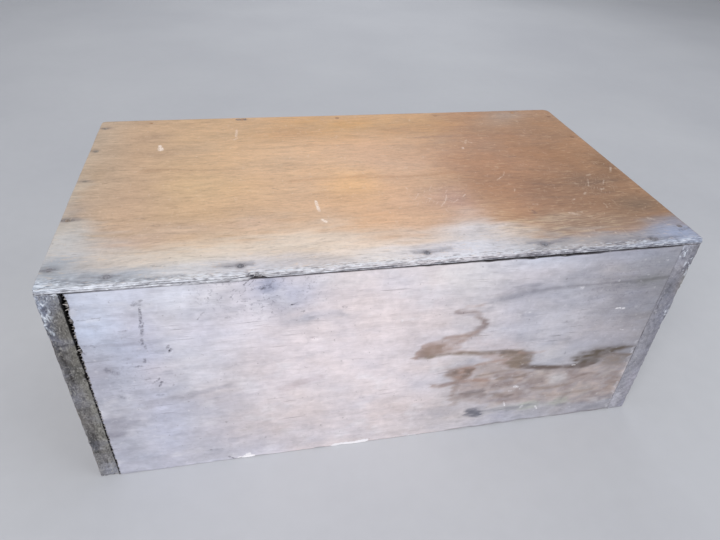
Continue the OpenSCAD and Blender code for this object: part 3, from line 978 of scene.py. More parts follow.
def paint_front_board(board):
    flat = board.flat
    u = flat[:, X] + 1.6 * fractal(flat, (30, FAR, 12), 31) + 3.2 * noise(flat, (9, FAR, 2.2), 34)
    v = flat[:, Z] + 1.0 * fractal(flat, (40, FAR, 11), 35) + 0.8 * noise(flat, (9, FAR, 3), 38)
    inner = along_stops(flat[:, X], [(-234, (158, 140, 122)), (0, (176, 156, 134)), (232, (150, 132, 116))])
    canvas = Canvas(u, v, inner, board.facing(Y, LOW, 3))
    canvas.lay(along_stops(u, FRONT_STOPS), 1)
    canvas.zones(FRONT_ZONES)
    dirt = ramp(noise(flat, (22, FAR, 7), 45) + 0.7 * noise(flat, (8, FAR, 3), 46), 0.35, 1.2)
    canvas.lay((160, 160, 172), 0.42 * dirt * ramp(abs(flat[:, X] + 30), 40, 130))
    cloudy = fractal(flat, (34, FAR, 15), 63) + 0.6 * noise(flat, (9, FAR, 5), 66)
    canvas.shade(0.045 * cloudy * ramp(abs(flat[:, X] + 10), 10, 150))
    warmth = fractal(flat, (36, FAR, 24), 68)[:, None] * np.array([0.02, -0.004, -0.032])
    canvas.colour = canvas.colour * (1 + warmth)
    haze = ramp(noise(flat, (16, FAR, 12), 47) + 0.6 * noise(flat, (6, FAR, 4), 48), 0.3, 1.1)
    canvas.lay((228, 226, 232), 0.3 * haze * ramp(flat[:, X], 120, 60))

    # Stains, and the blots within the soaked part
    mottle = 1 + 0.28 * fractal(flat, (20, FAR, 9), 41) + 0.28 * noise(flat, (5, FAR, 2.6), 43)
    on_face = canvas.on_face
    canvas.on_face = on_face * np.clip(mottle, 0.4, 1.2)
    canvas.patches(FRONT_STAINS)
    soaked = ramp(outline_distance(u, v, SOAKED), 4, -6)
    blots = noise(flat, (11, FAR, 7), 61) + 0.7 * noise(flat, (5, FAR, 3.5), 62)
    canvas.lay((196, 180, 174), 0.5 * soaked * ramp(blots, 0.1, 0.9))
    canvas.lay((136, 122, 120), 0.4 * soaked * ramp(blots, -0.15, -0.9))
    canvas.lines(FRONT_STREAKS)
    canvas.on_face = on_face

    # Uneven tone low down at the right, and the pale strip by the broken rim
    low_right = ramp(flat[:, Z], 32, 18) * ramp(flat[:, X], 84, 120)
    canvas.lay((142, 142, 152), 0.42 * low_right * ramp(blots, -0.1, -0.9))
    canvas.lay((198, 198, 206), 0.4 * low_right * ramp(blots, 0.1, 0.9))
    strip = ramp(abs(flat[:, X] + 32 + 2 * noise(flat, (3, FAR, 1.5), 49)), 17, 14)
    strip = 0.85 * strip * ramp(flat[:, Z] + 0.8 * noise(flat, (4, FAR, FAR), 50), 3.0, 1.8)
    canvas.lay((238, 236, 238), strip)

    # The slanted end and the top edge are painted nearly black: painted shade in the saw gap and the seam
    # under the sheet.
    end = np.maximum(board.facing(X, LOW, 0.9), board.facing(X, HIGH, 0.4))
    canvas.on_face = 1
    canvas.lay((46, 40, 37), 0.95 * ramp(board.depth(Y, LOW), 0.3, 1.2) * end)
    canvas.lay((44, 40, 44), 0.95 * board.facing(Z, HIGH, 1.6))
    canvas.lay((120, 112, 110), 0.5 * board.facing(Z, LOW, 1.2))
    canvas.shade(0.03 * fractal(flat, (18, 20, 6), 44))
    board.colour = canvas.colour
    board.sawn = end


def add_splinters(board):
    """Torn fibres along the front board's slanted left end, longest where the gap is widest."""
    rng = np.random.default_rng(4)
    heights = np.arange(8, 199, 2.3)
    short_ones = [(height + rng.uniform(-1.2, 1.2), rng.uniform(0.2, 1.1)) for height in heights]
    for height, reach in LONG_SPLINTERS + short_ones:
        start_x = board.low[X] + saw_slant(height) + 1.7
        reach *= 0.85 + 0.15 * ramp(height, 60, 150)
        foot = np.array([start_x, board.low[Y] + rng.uniform(0.35, 1.3), height])
        tip = foot + np.array([-reach - 1.3, rng.uniform(-0.4, 0.5), rng.uniform(-1.3, 0.9)])
        colour = tint(178, 172, 170) * rng.uniform(0.3, 1.15)
        width = rng.uniform(0.6, 1.5)
        board.add(*sliver(foot, tip, width, rng.uniform(0.4, 0.7)), colour)


def front_board_radius(flat):
    """Worn edges, but crisp at the tight right joint."""
    return worn_radius(0.7, 0.35, 20)(flat) * (1 - 0.7 * ramp(flat[:, X], RIGHT_JOINT - 3, RIGHT_JOINT - 0.5))


def make_front_board():
    board = Board("front_side_board", board_lines(2.15, 2.4, 1.05), front_board_radius)
    shape_front_board(board)
    paint_front_board(board)
    add_splinters(board)
    front = board.low[Y]
    pitted = [((-104, front, 187), (64, 20, 30), 0.9), ((-204, front, 120), (44, 20, 70), 0.35),
              ((196, front, 160), (70, 20, 60), 0.55)]
    material = board_material("aged_front_board", X, (0, front + 84, 92), 0.03, 0.75, 1.0,
                              FRONT_DARK_MARKS, FRONT_PALE_MARKS, board.lift(Y, LOW), pitted=pitted)
    board.make("front_side_board_aged", material)


# ---------------------------------------------------------------- back board

def shape_back_board(board):
    flat = board.flat
    on_broad = np.maximum(board.facing(Y, LOW), board.facing(Y, HIGH))
    board.push(0.35 * fractal(flat, (170, FAR, 50), 51, 2) * on_broad)
    board.at[:, Z] -= 0.2 * board.facing(Z, HIGH)
    bruise = ramp(board.depth(Z, LOW), 4.0, 0) * board.facing(Y, HIGH, 5)
    board.push(-0.8 * bruise * ramp(noise(flat, (16, FAR, FAR), 53), 0.1, 0.7))
    dents(board, Y, HIGH, [(92, 61, 5.0, 0.7), (-150, 132, 3.5, 0.6)])
    seam_wear(board, 0.4, 54)


def paint_back_board(board):
    flat = board.flat
    u = flat[:, X] + 5 * fractal(flat, (50, FAR, 20), 55)
    v = flat[:, Z] + 3 * fractal(flat, (60, FAR, 14), 58)
    canvas = Canvas(u, v, (172, 152, 132), board.facing(Y, HIGH, 3))
    canvas.lay(along_stops(u, [(-234, (168, 160, 154)), (-60, (196, 186, 178)), (90, (188, 176, 168)),
                               (232, (160, 152, 148))]), 1)
    canvas.zones([
        ((214, 206, 200), 0.6, (-90, 120), (90, 40)), ((150, 144, 144), 0.6, (160, 180), (60, 16)),
        ((140, 132, 130), 0.6, (-200, 20), (40, 20)), ((206, 196, 186), 0.5, (60, 40), (70, 24)),
    ])
    canvas.on_face = canvas.on_face * mottling(flat, (22, FAR, 9), 67)
    canvas.patches([
        ((160, 144, 134), 0.5, 8.0, [(-60, 0), (-40, 16), (-12, 22), (18, 34), (60, 30), (94, 14), (140, 0)]),
        ((150, 134, 124), 0.45, 8.0, [(236, 120), (204, 122), (176, 104), (190, 86), (236, 80)]),
        ((148, 140, 138), 0.5, 6.0, [(-236, 176), (-180, 170), (-96, 182), (-30, 176), (-30, 201),
                                     (-236, 201)]),
    ])
    canvas.lines([
        ((138, 122, 112), 0.4, 3.0, [(-34, 17), (-10, 25), (18, 35), (44, 33)]),
        ((84, 74, 68), 0.7, 0.9, [(-234, 88), (-212, 87), (-190, 88.5)]),
        ((84, 74, 68), 0.7, 0.8, [(231, 147), (214, 148), (200, 147)]),
        ((142, 130, 124), 0.45, 3.0, [(-150, 62), (-90, 59), (-20, 62), (40, 60)]),
    ])
    end = np.maximum(board.facing(X, LOW, 1.2), board.facing(X, HIGH, 1.2))
    canvas.on_face = 1
    canvas.lay((70, 62, 58), 0.85 * np.maximum(end, board.facing(Z, HIGH, 1.2)))
    canvas.lay((120, 112, 108), 0.5 * board.facing(Z, LOW, 1.2))
    canvas.shade(0.05 * fractal(flat, (22, 20, 7), 61))
    board.colour = canvas.colour
    board.sawn = end


def make_back_board():
    board = Board("back_side_board", board_lines(2.6, 2.4, 2.4), worn_radius(0.9, 0.5, 50))
    shape_back_board(board)
    paint_back_board(board)
    marks = [
        (-150, 132, -146, 133, 1.2, 0.6), (92, 61, 95, 62, 1.4, 0.5), (12, 118, 0.8, 0.9),
        (-88, 38, -84, 38.5, 1.0, 0.5), (168, 44, 176, 45, 0.7, 0.5), (-190, 160, -182, 158, 0.8, 0.4),
    ]
    scratches = [
        (-40, 82, -22, 74, 0.5, 0.4), (130, 96, 142, 88, 0.6, 0.35), (-120, 170, -112, 160, 0.5, 0.35),
    ]
    material = board_material("aged_back_board", X, (0, board.high[Y] - 70, 120), 0.13, 1.1, 1.0,
                              marks, scratches, board.lift(Y, HIGH))
    board.make("back_side_board_aged", material)


# ---------------------------------------------------------------- end boards

def shape_end_board(board, outer, tearing, seed):
    """The parts of an end board's shape that both ends share. outer is the side that faces out along x."""
    flat = board.flat
    on_broad = np.maximum(board.facing(X, LOW), board.facing(X, HIGH))
    board.push(0.3 * fractal(flat, (FAR, 120, 46), seed, 2) * on_broad)
    sawn = np.maximum(board.facing(Y, LOW, 2.0), board.facing(Y, HIGH, 2.0))
    torn = 0.8 * noise(flat, (1.6, FAR, 2.4), seed + 2) + 0.6 * noise(flat, (3.5, FAR, 6), seed + 3)
    torn += 0.3 * noise(flat, (5, FAR, 26), seed + 4)
    board.push(tearing * (0.6 * torn - 0.4) * sawn)
    board.at[:, Z] -= 0.25 * board.facing(Z, HIGH)
    seam_wear(board, 0.8, seed + 5)
    outer_rim = ramp(board.depth(X, outer), 3.5, 0) * sawn
    board.push(-1.1 * outer_rim * ramp(noise(flat, (FAR, FAR, 8), seed + 6), 0, 0.8))
    board.push(-0.7 * outer_rim * ramp(noise(flat, (FAR, FAR, 2.6), seed + 7), 0, 0.8))


def paint_end_face(board, outer, middle, rim, nails, seed):
    """Paint of an end board's broad faces, the same on both. middle and rim are the outer face's colours.
    Gives back the canvas."""
    flat = board.flat
    inner = HIGH if outer == LOW else LOW
    u = flat[:, Y] + 5 * fractal(flat, (FAR, 50, 20), seed)
    v = flat[:, Z] + 3 * fractal(flat, (FAR, 60, 14), seed + 3)
    canvas = Canvas(u, v, (160, 142, 124), board.facing(X, outer, 3))
    canvas.lay(along_stops(u, [(-141, rim), (-70, middle), (60, middle), (141, rim)]), 1)
    canvas.zones([
        ((188, 182, 176), 0.6, (-60, 150), (50, 30)), ((126, 118, 114), 0.6, (80, 12), (60, 14)),
        ((136, 128, 122), 0.6, (-110, 60), (24, 60)), ((186, 176, 164), 0.5, (60, 90), (50, 30)),
        ((150, 152, 160), 0.6, (0, 196), (140, 7)),
    ])
    canvas.on_face = canvas.on_face * mottling(flat, (FAR, 20, 9), seed + 20)
    canvas.lines([
        ((84, 74, 70), 0.7, 0.9, [(-141, 121), (-118, 120), (-101, 121.5)]),
        ((84, 74, 70), 0.7, 0.8, [(141, 52), (122, 53), (108, 52)]),
        ((122, 110, 104), 0.5, 3.0, [(-60, 70), (-20, 66), (44, 69), (80, 66)]),
        ((120, 108, 102), 0.4, 4.0, [(-20, 168), (50, 164), (110, 167)]),
    ])
    canvas.patches([
        ((126, 116, 110), 0.5, 5.0, [(-141, 0), (-138, 26), (-104, 34), (-70, 20), (-40, 22), (-10, 0)]),
        ((196, 190, 184), 0.45, 7.0, [(10, 110), (20, 140), (70, 150), (104, 132), (84, 108)]),
    ])
    canvas.on_face = board.facing(X, outer, 2)
    for spot in nails:
        along = abs(flat[:, Y] - spot[Y])
        distance = np.hypot(along, flat[:, Z] - spot[Z])
        canvas.lay((120, 98, 84), 0.45 * bell(along, 9) * bell(flat[:, Z] - spot[Z], 2.4))
        canvas.lay((74, 62, 58), 0.7 * bell(distance - 2.7, 1.2))
    # Painted shade: the inner face darkens towards the side boards, in the inside corners.
    canvas.on_face = board.facing(X, inner, 2)
    canvas.lay((92, 80, 72), 0.5 * ramp(abs(flat[:, Y]), 118, 127))
    return canvas


def paint_end_edge(board, canvas, tearing, ground, zones, seed):
    """Paint of an end board's sawn edges, with the zones on the one that shows in front. Leaves the canvas
    ready for what else is on that edge."""
    flat = board.flat
    sawn = np.maximum(board.facing(Y, LOW, 1.6), board.facing(Y, HIGH, 1.6))
    canvas.u = flat[:, X] + 1.2 * fractal(flat, (4, FAR, 12), seed + 6)
    canvas.v = flat[:, Z] + 2.5 * fractal(flat, (6, FAR, 12), seed + 9)
    canvas.on_face = sawn
    canvas.lay(ground, 1)
    canvas.on_face = board.facing(Y, LOW, 2.5)
    canvas.zones(zones)
    canvas.on_face = 1
    canvas.lay((84, 76, 72), 0.7 * board.facing(Z, HIGH, 1.2))
    canvas.lay((110, 104, 100), 0.5 * board.facing(Z, LOW, 1.2))
    fibres = noise(flat, (1.3, FAR, 3), seed + 12) + 0.7 * noise(flat, (2.4, FAR, 14), seed + 15)
    shade = 1 + 0.05 * fractal(flat, (20, 22, 7), seed + 13) + 0.2 * tearing * sawn * fibres
    canvas.colour = canvas.colour * shade[:, None]
    board.sawn = sawn * (1 - 0.45 * board.facing(Y, HIGH, 2.0))
    canvas.u = flat[:, X]
    canvas.v = flat[:, Z]
    canvas.on_face = board.facing(Y, LOW, 2.5)


# Soft changes of tone on the end boards' front edges: colour, strength, centre (x, z), reach
LEFT_EDGE_ZONES = [
    ((118, 128, 152), 0.95, (-249, 190), (6, 18)), ((166, 176, 194), 0.5, (-249, 174), (3, 10)),
    ((122, 129, 144), 0.7, (-243, 196), (5, 10)), ((84, 84, 89), 0.7, (-247, 134), (5, 30)),
    ((46, 47, 52), 0.95, (-247.5, 42), (5, 16)), ((70, 70, 75), 0.85, (-247.5, 100), (5, 16)),
    ((122, 127, 134), 0.7, (-237, 197), (4, 9)), ((58, 61, 71), 0.9, (-247.5, 160), (5, 11)),
    ((128, 126, 118), 0.7, (-236.5, 120), (4, 60)), ((132, 131, 126), 0.7, (-237, 70), (4, 50)),
    ((88, 86, 88), 0.7, (-247, 58), (4, 8)), ((90, 88, 88), 0.6, (-246, 140), (3, 16)),
    ((78, 76, 72), 0.75, (-238, 130), (6, 12)), ((132, 131, 134), 0.6, (-243, 98), (5, 18)),
    ((158, 160, 172), 0.85, (-240, 8), (10, 12)),
]

# Cracks in the left end board's front edge (x, z): one straight across, and a long one below it
CROSS_CRACK = [(-246, 153.5), (-240, 154.4), (-235, 154)]
LONG_CRACK = [(-245.8, 150), (-244.8, 139), (-244.9, 126), (-243.6, 115)]


def end_board_radius(joint, mean, spread, seed):
    """Worn edges, but crisp where the board meets the side boards."""
    def radius(flat):
        return worn_radius(mean, spread, seed)(flat) * (1 - 0.65 * ramp(abs(flat[:, X] - joint), 3, 0.5))
    return radius


def make_left_end():
    tearing = 1.0
    board = Board("left_end_board", board_lines(0.9, 3.0, 1.05), end_board_radius(LEFT_JOINT, 1.1, 0.6, 70))
    x, z = board.flat[:, X], board.flat[:, Z]
    shape_end_board(board, LOW, tearing, 71)
    nails = [spot for node in LEFT_NAILS for spot in NAIL_SPOTS[node]]
    dent_nail_seats(board, nails, 0.9, 3.3)
    near_front = board.facing(Y, LOW, 6)
    cross_crack = bell(route_distance(x, z, CROSS_CRACK), 0.9)
    long_crack = bell(route_distance(x, z, LONG_CRACK), 0.8)
    board.at[:, Y] += 1.1 * near_front * cross_crack + 0.9 * near_front * long_crack
    canvas = paint_end_face(board, LOW, (168, 156, 144), (140, 130, 122), nails, 81)
    paint_end_edge(board, canvas, tearing, (110, 107, 105), LEFT_EDGE_ZONES, 81)
    canvas.u = x + 0.8 * noise(board.flat, (FAR, FAR, 4), 86)
    canvas.lines([
        ((44, 40, 40), 0.85, 0.8, CROSS_CRACK), ((48, 44, 44), 0.8, 0.8, LONG_CRACK),
        ((70, 66, 66), 0.5, 0.9, [(-243.2, 110), (-241.6, 84), (-242.2, 62)]),
        ((58, 55, 56), 0.6, 1.1, [(-245, 58), (-242.5, 50), (-242.8, 42)]),
        ((78, 74, 73), 0.5, 0.8, [(-242.5, 38), (-241, 24), (-241.5, 12)]),
        ((206, 214, 226), 0.5, 0.9, [(-249.6, 201), (-248.6, 186), (-248.8, 172), (-246, 166)]),
        ((206, 214, 226), 0.4, 0.5, [(-244, 199), (-243, 186)]),
        ((196, 202, 214), 0.7, 0.8, [(-250, 200), (-243, 200.4), (-236, 200)]),
        # Pale lines down the outer arris are painted highlights where the rounded rim catches the light.
        ((170, 172, 178), 0.3, 0.7, [(-249.4, 130), (-249.4, 96)]),
        ((176, 178, 184), 0.3, 0.7, [(-249.4, 70), (-249.2, 44), (-249.2, 8)]),
        ((190, 188, 190), 0.6, 0.8, [(-249, 0.8), (-235, 0.8)]),
    ])

    # The strip behind the front board's end is painted nearly black, as shade where it shows through the gap.
    canvas.on_face = board.facing(X, HIGH, 1.0)
    gap_shade_strip = ramp(abs(board.flat[:, Y] + 133), 9, 7.5)
    canvas.lay((24, 21, 20), 0.96 * gap_shade_strip)
    board.colour = canvas.colour
    front = board.low[Y]
    marks = [
        (-40, 92, -36, 93, 1.2, 0.6), (66, 140, 0.9, 0.9), (20, 30, 27, 31, 0.8, 0.5),
        (-90, 170, -84, 168, 0.8, 0.5), (96, 58, 98, 62, 1.3, 0.5),
    ]
    scratches = [(-20, 120, -8, 108, 0.5, 0.4), (44, 60, 52, 74, 0.5, 0.35)]
    flaked = [((-249, front, 188), (8, 8, 17)), ((-248.5, front, 170), (5, 8, 10)),
              ((-241, front, 200), (11, 8, 5))]
    material = board_material("rough_left_end", Y, (board.low[X] + 60, 0, 110), 0.13, 1.15, tearing,
                              marks, scratches, board.lift(X, LOW), flaked=flaked)
    board.make("left_end_board_rough", material)


RIGHT_EDGE_ZONES = [
    ((162, 164, 178), 0.8, (236, 196), (6, 13)), ((116, 116, 126), 0.75, (247, 187), (4, 17)),
    ((120, 113, 114), 0.7, (247, 160), (5, 15)), ((112, 113, 128), 0.6, (247, 134), (5, 14)),
    ((140, 138, 128), 0.6, (249.6, 160), (1.6, 40)), ((164, 164, 184), 0.6, (247, 8), (5, 10)),
    ((106, 109, 122), 0.75, (239, 152), (5, 11)), ((96, 97, 108), 0.6, (237.5, 156), (3, 8)),
    ((136, 138, 154), 0.65, (243, 121), (7, 16)), ((128, 128, 140), 0.6, (246, 96), (5, 30)),
    ((152, 152, 162), 0.6, (238, 70), (6, 40)), ((126, 126, 138), 0.4, (247, 72), (4, 20)),
    ((174, 171, 185), 0.7, (246, 40), (6, 14)), ((190, 189, 200), 0.9, (236, 10), (6, 14)),
]


def make_right_end():
    tearing = 0.45
    board = Board("right_end_board", board_lines(0.95, 3.0, 1.2), end_board_radius(RIGHT_JOINT, 1.0, 0.5, 90))
    shape_end_board(board, HIGH, tearing, 91)
    nails = [spot for node in RIGHT_NAILS for spot in NAIL_SPOTS[node]]
    dent_nail_seats(board, nails, 0.9, 3.3)
    canvas = paint_end_face(board, HIGH, (160, 148, 138), (134, 126, 120), nails, 101)
    paint_end_edge(board, canvas, tearing, (148, 147, 156), RIGHT_EDGE_ZONES, 101)
    swirl = [(236 + 2.4 * math.cos(turn), 193 + 2.2 * math.sin(turn)) for turn in np.linspace(0, 5.2, 9)]
    canvas.lines([
        ((88, 88, 98), 0.7, 0.6, swirl),
        ((76, 76, 86), 0.7, 0.7, [(236, 148), (235.6, 140), (236, 133)]),
        ((120, 118, 126), 0.5, 0.7, [(232.9, 200), (232.9, 120), (232.9, 96)]),
        ((200, 204, 214), 0.6, 0.8, [(246, 129), (247, 124), (246.4, 121)]),
        ((198, 202, 212), 0.6, 0.8, [(246, 136), (246.3, 136.4)]),
    ])
    board.colour = canvas.colour
    front = board.low[Y]
    marks = [
        (-70, 60, -64, 61, 1.1, 0.6), (30, 150, 0.9, 0.9), (84, 96, 92, 97, 0.8, 0.5),
        (-20, 22, -14, 24, 1.2, 0.5),
    ]
    scratches = [
        (0, 96, 14, 88, 0.5, 0.4), (-96, 130, -88, 144, 0.5, 0.3), (60, 34, 66, 26, 0.5, 0.35),
    ]
    flaked = [((246.5, front, 126), (3.5, 8, 9)), ((237, front, 192), (7, 8, 9)),
              ((246, front, 178), (5, 8, 14))]
    material = board_material("rough_right_end", Y, (board.high[X] - 64, 0, 90), 0.13, 1.15, 0.4,
                              marks, scratches, board.lift(X, HIGH), flaked=flaked)
    board.make("right_end_board_rough", material)


# ---------------------------------------------------------------- plywood floor sheet

# Mean colours along the sheet, from left to right. They darken to the right partly in the wood's own
# colour and partly as painted shade.
SHEET_STOPS = [
    (-250, (188, 168, 148)), (-205, (198, 167, 138)), (-168, (202, 170, 137)), (-131, (208, 173, 137)),
    (-57, (213, 175, 142)), (-20, (217, 177, 143)), (17, (213, 173, 142)), (54, (205, 166, 134)),
    (91, (190, 150, 117)), (128, (176, 132, 102)), (165, (169, 126, 95)), (202, (160, 119, 88)),
    (250, (168, 129, 98)),
]

# Soft changes of tone, and a painted highlight: colour, strength, centre (x, y), reach
SHEET_ZONES = [
    ((202, 154, 96), 0.95, (-4, 114), (116, 38)), ((164, 122, 90), 0.4, (166, 56), (60, 26)),
    # The bright amber oval at (-18, -20) is a painted highlight of the varnish's sheen.
    ((176, 150, 124), 0.6, (-238, 24), (12, 16)), ((228, 180, 124), 0.6, (-18, -20), (30, 32)),
    ((212, 168, 128), 0.6, (-21, -48), (20, 14)), ((224, 176, 134), 0.6, (-18, -84), (36, 16)),
    ((220, 180, 138), 0.4, (-90, 30), (60, 60)), ((212, 176, 136), 0.5, (-140, -8), (30, 24)),
    ((170, 124, 92), 0.9, (106, -14), (32, 52)), ((176, 148, 124), 0.7, (-195, 95), (18, 14)),
    ((146, 106, 80), 0.7, (150, -44), (20, 18)), ((132, 99, 73), 0.8, (240, -10), (14, 24)),
    ((220, 188, 166), 0.6, (-107, -76), (24, 12)), ((168, 132, 102), 0.5, (151, 92), (20, 12)),
    ((182, 150, 128), 0.25, (-178, 58), (24, 10)), ((186, 142, 112), 0.6, (88, 30), (26, 30)),
    ((210, 170, 142), 0.5, (56, 20), (22, 26)), ((135, 106, 86), 0.85, (206, -42), (36, 18)),
    ((146, 116, 96), 0.5, (176, -72), (46, 26)), ((131, 108, 90), 0.85, (230, -82), (26, 18)),
    ((212, 184, 164), 0.55, (-168, -76), (44, 12)), ((182, 160, 146), 0.6, (196, 126), (24, 14)),
    ((174, 152, 132), 0.3, (180, 105), (30, 16)), ((200, 166, 132), 0.4, (-150, 118), (60, 18)),
    ((202, 172, 148), 0.4, (-205, -36), (26, 40)), ((180, 136, 98), 0.6, (62, 96), (28, 14)),
    ((192, 146, 104), 0.5, (-64, 95), (26, 13)), ((164, 124, 94), 0.45, (156, 92), (34, 14)),
    ((182, 146, 134), 0.75, (66, -58), (22, 24)), ((224, 190, 146), 0.4, (-156, -12), (28, 20)),
]

# Colours where the varnish is worn away, and along the cold grey rim
BAND_STOPS = [
    (-250, (190, 188, 186)), (-215, (200, 194, 190)), (-150, (215, 205, 194)), (-60, (227, 211, 196)),
    (22, (231, 214, 202)), (60, (224, 218, 219)), (91, (218, 208, 204)), (130, (190, 177, 166)),
    (165, (174, 160, 148)), (202, (160, 147, 136)), (245, (150, 147, 154)),
]
RIM_STOPS = [
    (-250, (168, 177, 189)), (-193, (176, 181, 191)), (-150, (208, 208, 213)), (-107, (206, 206, 217)),
    (-64, (208, 202, 203)), (-21, (222, 217, 217)), (22, (212, 211, 220)), (65, (219, 220, 230)),
    (108, (180, 180, 187)), (151, (173, 169, 173)), (194, (158, 157, 165)), (237, (162, 171, 195)),
]

# Mean colours of the plies' edges, from left to right
EDGE_STOPS = [
    (-250, (200, 208, 222)), (-225, (206, 210, 220)), (-118, (204, 204, 210)), (0, (214, 209, 213)),
    (60, (204, 200, 206)), (110, (176, 174, 182)), (170, (166, 168, 178)), (250, (160, 169, 190)),
]

# Where the varnish is worn off along the front edge, and the paler rub at the left edge
WORN_BAND = [
    (-262, -40), (-238, -58), (-220, -78), (-180, -101), (-120, -99), (-87, -92), (-49, -88), (-30, -103),
    (0, -109), (29, -106), (44, -100), (60, -94), (78, -92), (94, -100), (108, -112), (152, -129),
    (202, -127), (235, -107), (262, -106), (262, -160), (-262, -160),
]
LEFT_RUB = [
    (-262, 150), (-240, 140), (-236, 60), (-238, -20), (-234, -70), (-262, -80),
]

# Streaks in the varnish and round the nails: colour, strength, half width, route (x, y)
SHEET_STREAKS = [
    ((168, 134, 106), 0.35, 2.4, [(-120, 62), (-80, 60), (-40, 63), (0, 61)]),
    ((168, 134, 106), 0.35, 2.2, [(-200, 20), (-160, 22), (-110, 19)]),
    ((180, 132, 96), 0.35, 2.4, [(-70, -8), (-20, -6), (40, -10), (84, -9)]),
    ((150, 112, 88), 0.35, 2.4, [(70, 70), (130, 74), (190, 71)]),
    ((128, 100, 84), 0.4, 2.6, [(150, -38), (190, -42), (236, -40)]),
    ((132, 104, 86), 0.35, 2.4, [(140, -62), (176, -64), (220, -61)]),
    ((204, 182, 154), 0.3, 2.4, [(100, -96), (120, -98), (140, -95)]),
    ((168, 146, 122), 0.35, 2.0, [(-232, -76), (-210, -80), (-184, -78)]),
    ((172, 152, 132), 0.3, 2.0, [(-206, -106), (-180, -108)]),
    ((126, 126, 138), 0.5, 2.6, [(104, -126), (124, -128), (140, -126)]),
    ((120, 120, 132), 0.4, 2.4, [(168, -134), (210, -136), (230, -134)]),
    ((130, 134, 146), 0.45, 2.2, [(-246, -134), (-200, -138), (-150, -137)]),
    ((132, 134, 142), 0.55, 3.0, [(-249, -119), (-236, -119)]),
    ((140, 141, 148), 0.5, 2.6, [(-214, -131), (-194, -132)]),
    ((136, 134, 142), 0.55, 2.6, [(-130, -129), (-108, -130.5)]),
    ((142, 142, 152), 0.5, 3.0, [(8, -130), (34, -131)]),
    ((118, 110, 112), 0.5, 3.0, [(-249, -55), (-238, -55.4)]),
    ((140, 128, 120), 0.4, 2.2, [(-249, 9.6), (-238, 10)]),
    ((128, 112, 104), 0.5, 4.0, [(-247, 122), (-241, 123)]),
    ((126, 108, 96), 0.4, 2.6, [(-248, 69), (-243, 69)]),
]

# Knocks and dirt, from place to place or at one place (x, y), then radius and strength
SHEET_DARK_MARKS = [
    (128, -83, 128, -86, 2.0, 0.45), (-94, -82, 0.6, 0.45), (-144, -114, 0.8, 0.35),
    (-86, -20, -82, -22, 1.2, 0.25), (238, -126, 248, -124, 1.6, 0.45), (-212, -138, 0.6, 0.6),
    (206, -135.5, 210, -134.6, 1.6, 0.9), (204, -133.4, 206, -133, 0.7, 0.5),
    (-214, -131.5, -209, -131.5, 0.9, 0.35), (-201, -131.3, -194, -132, 0.9, 0.3),
    (-128, -130.2, -120, -130, 1.0, 0.4), (-113, -129.8, -108, -130.4, 0.8, 0.35),
    (10, -131, 17, -131.2, 1.2, 0.3), (23, -130.8, 32, -130.4, 1.1, 0.3), (14, -128.6, 27, -128, 0.5, 0.3),
    (109, -131.4, 112, -131.8, 1.5, 0.35), (118, -131.4, 121, -131, 1.5, 0.35),
    (-112, 136.2, -105, 136.2, 2.6, 1.2), (-249, -55, -240, -55.4, 1.4, 0.45),
    (-249, -119.5, -240, -119, 1.2, 0.4), (-249, 9.6, -239, 10, 0.9, 0.35),
    (-247, 122.4, -242, 122, 1.6, 0.35), (-70, 22, -66, 22.3, 0.6, 0.3), (36, 88, 41, 88.2, 0.6, 0.3),
    (-140, -40, -136, -40, 0.6, 0.3), (150, 20, 157, 20.4, 0.8, 0.3), (96, -44, 101, -44.6, 0.7, 0.3),
    (-30, -132, -24, -132.4, 0.8, 0.3), (60, -136, 72, -136.2, 0.9, 0.35),
    (-176, -124, -168, -124.4, 0.7, 0.3), (-182, -70, -176, -70.5, 0.8, 0.3),
    (-196, -58, -188, -58.4, 0.8, 0.3), (-214, -66, -206, -66, 0.8, 0.3),
    (-160, -76, -152, -76.6, 0.7, 0.3), (-132, -66, -126, -66, 0.7, 0.25),
]

# Scratches and specks of paint, in the same way
SHEET_PALE_MARKS = [
    (-52.4, -46, -51.6, -62, 1.3, 1.2), (-51, -76, -48.5, -80, 1.3, 1.4),
    (-187.2, 76, -186.2, 69, 1.5, 1.6), (-186.4, 70, -185.8, 66.5, 2.4, 2.2),
    (109.5, 43, 110.5, 46, 1.2, 0.6), (117, 55, 119, 62, 1.0, 0.3), (121, 58, 124, 56, 0.8, 0.4),
    (58, -58, 61, -52, 0.5, 0.5), (60, -54, 62, -48, 0.5, 0.5), (52, -66, 58, -58, 0.5, 0.4),
    (70, -57, 64, -61, 0.5, 0.4), (33, -52, 38, -43, 0.6, 0.3), (30, -31, 31, -34, 0.7, 0.45),
    (76, -52, 79, -49, 0.7, 0.5), (45, -52, 47, -52.5, 1.0, 0.35), (200, -46, 206, -34, 0.6, 0.3),
    (210, -26, 214, -24, 1.0, 0.35), (216, -44, 221, -37, 0.7, 0.35), (209, -53, 212, -52, 1.0, 0.4),
    (188, -60, 191, -57, 1.0, 0.4), (172, -69, 175, -67, 0.8, 0.35), (126, -48, 128, -44, 0.6, 0.35),
    (133, -72, 137, -72.5, 1.0, 0.3), (159, -90, 164, -93, 2.2, 0.3), (166, -88, 169, -89, 1.2, 0.3),
    (222, -105, 226, -108, 1.5, 0.25), (156, -126, 1.2, 0.5), (181, -123, 1.0, 0.35), (96, -101, 1.2, 0.5),
    (79, -84, 0.8, 0.4), (-29, 102, 1.0, 0.35), (-115, 92, -114, 108, 1.3, 0.5),
    (-117, 84, -114, 88, 1.2, 0.4), (-152, 49, 1.0, 0.4), (-17, 35, 1.0, 0.35), (-48, 67, 0.8, 0.3),
    (-176, -86, 0.8, 0.35), (-101, -106, 1.0, 0.5), (44, -108, 1.0, 0.45), (238, -20, 243, -12, 1.0, 0.4),
    (132, -10, 128, -18, 0.7, 0.3), (128, -18, 118, -26, 0.6, 0.3),
]

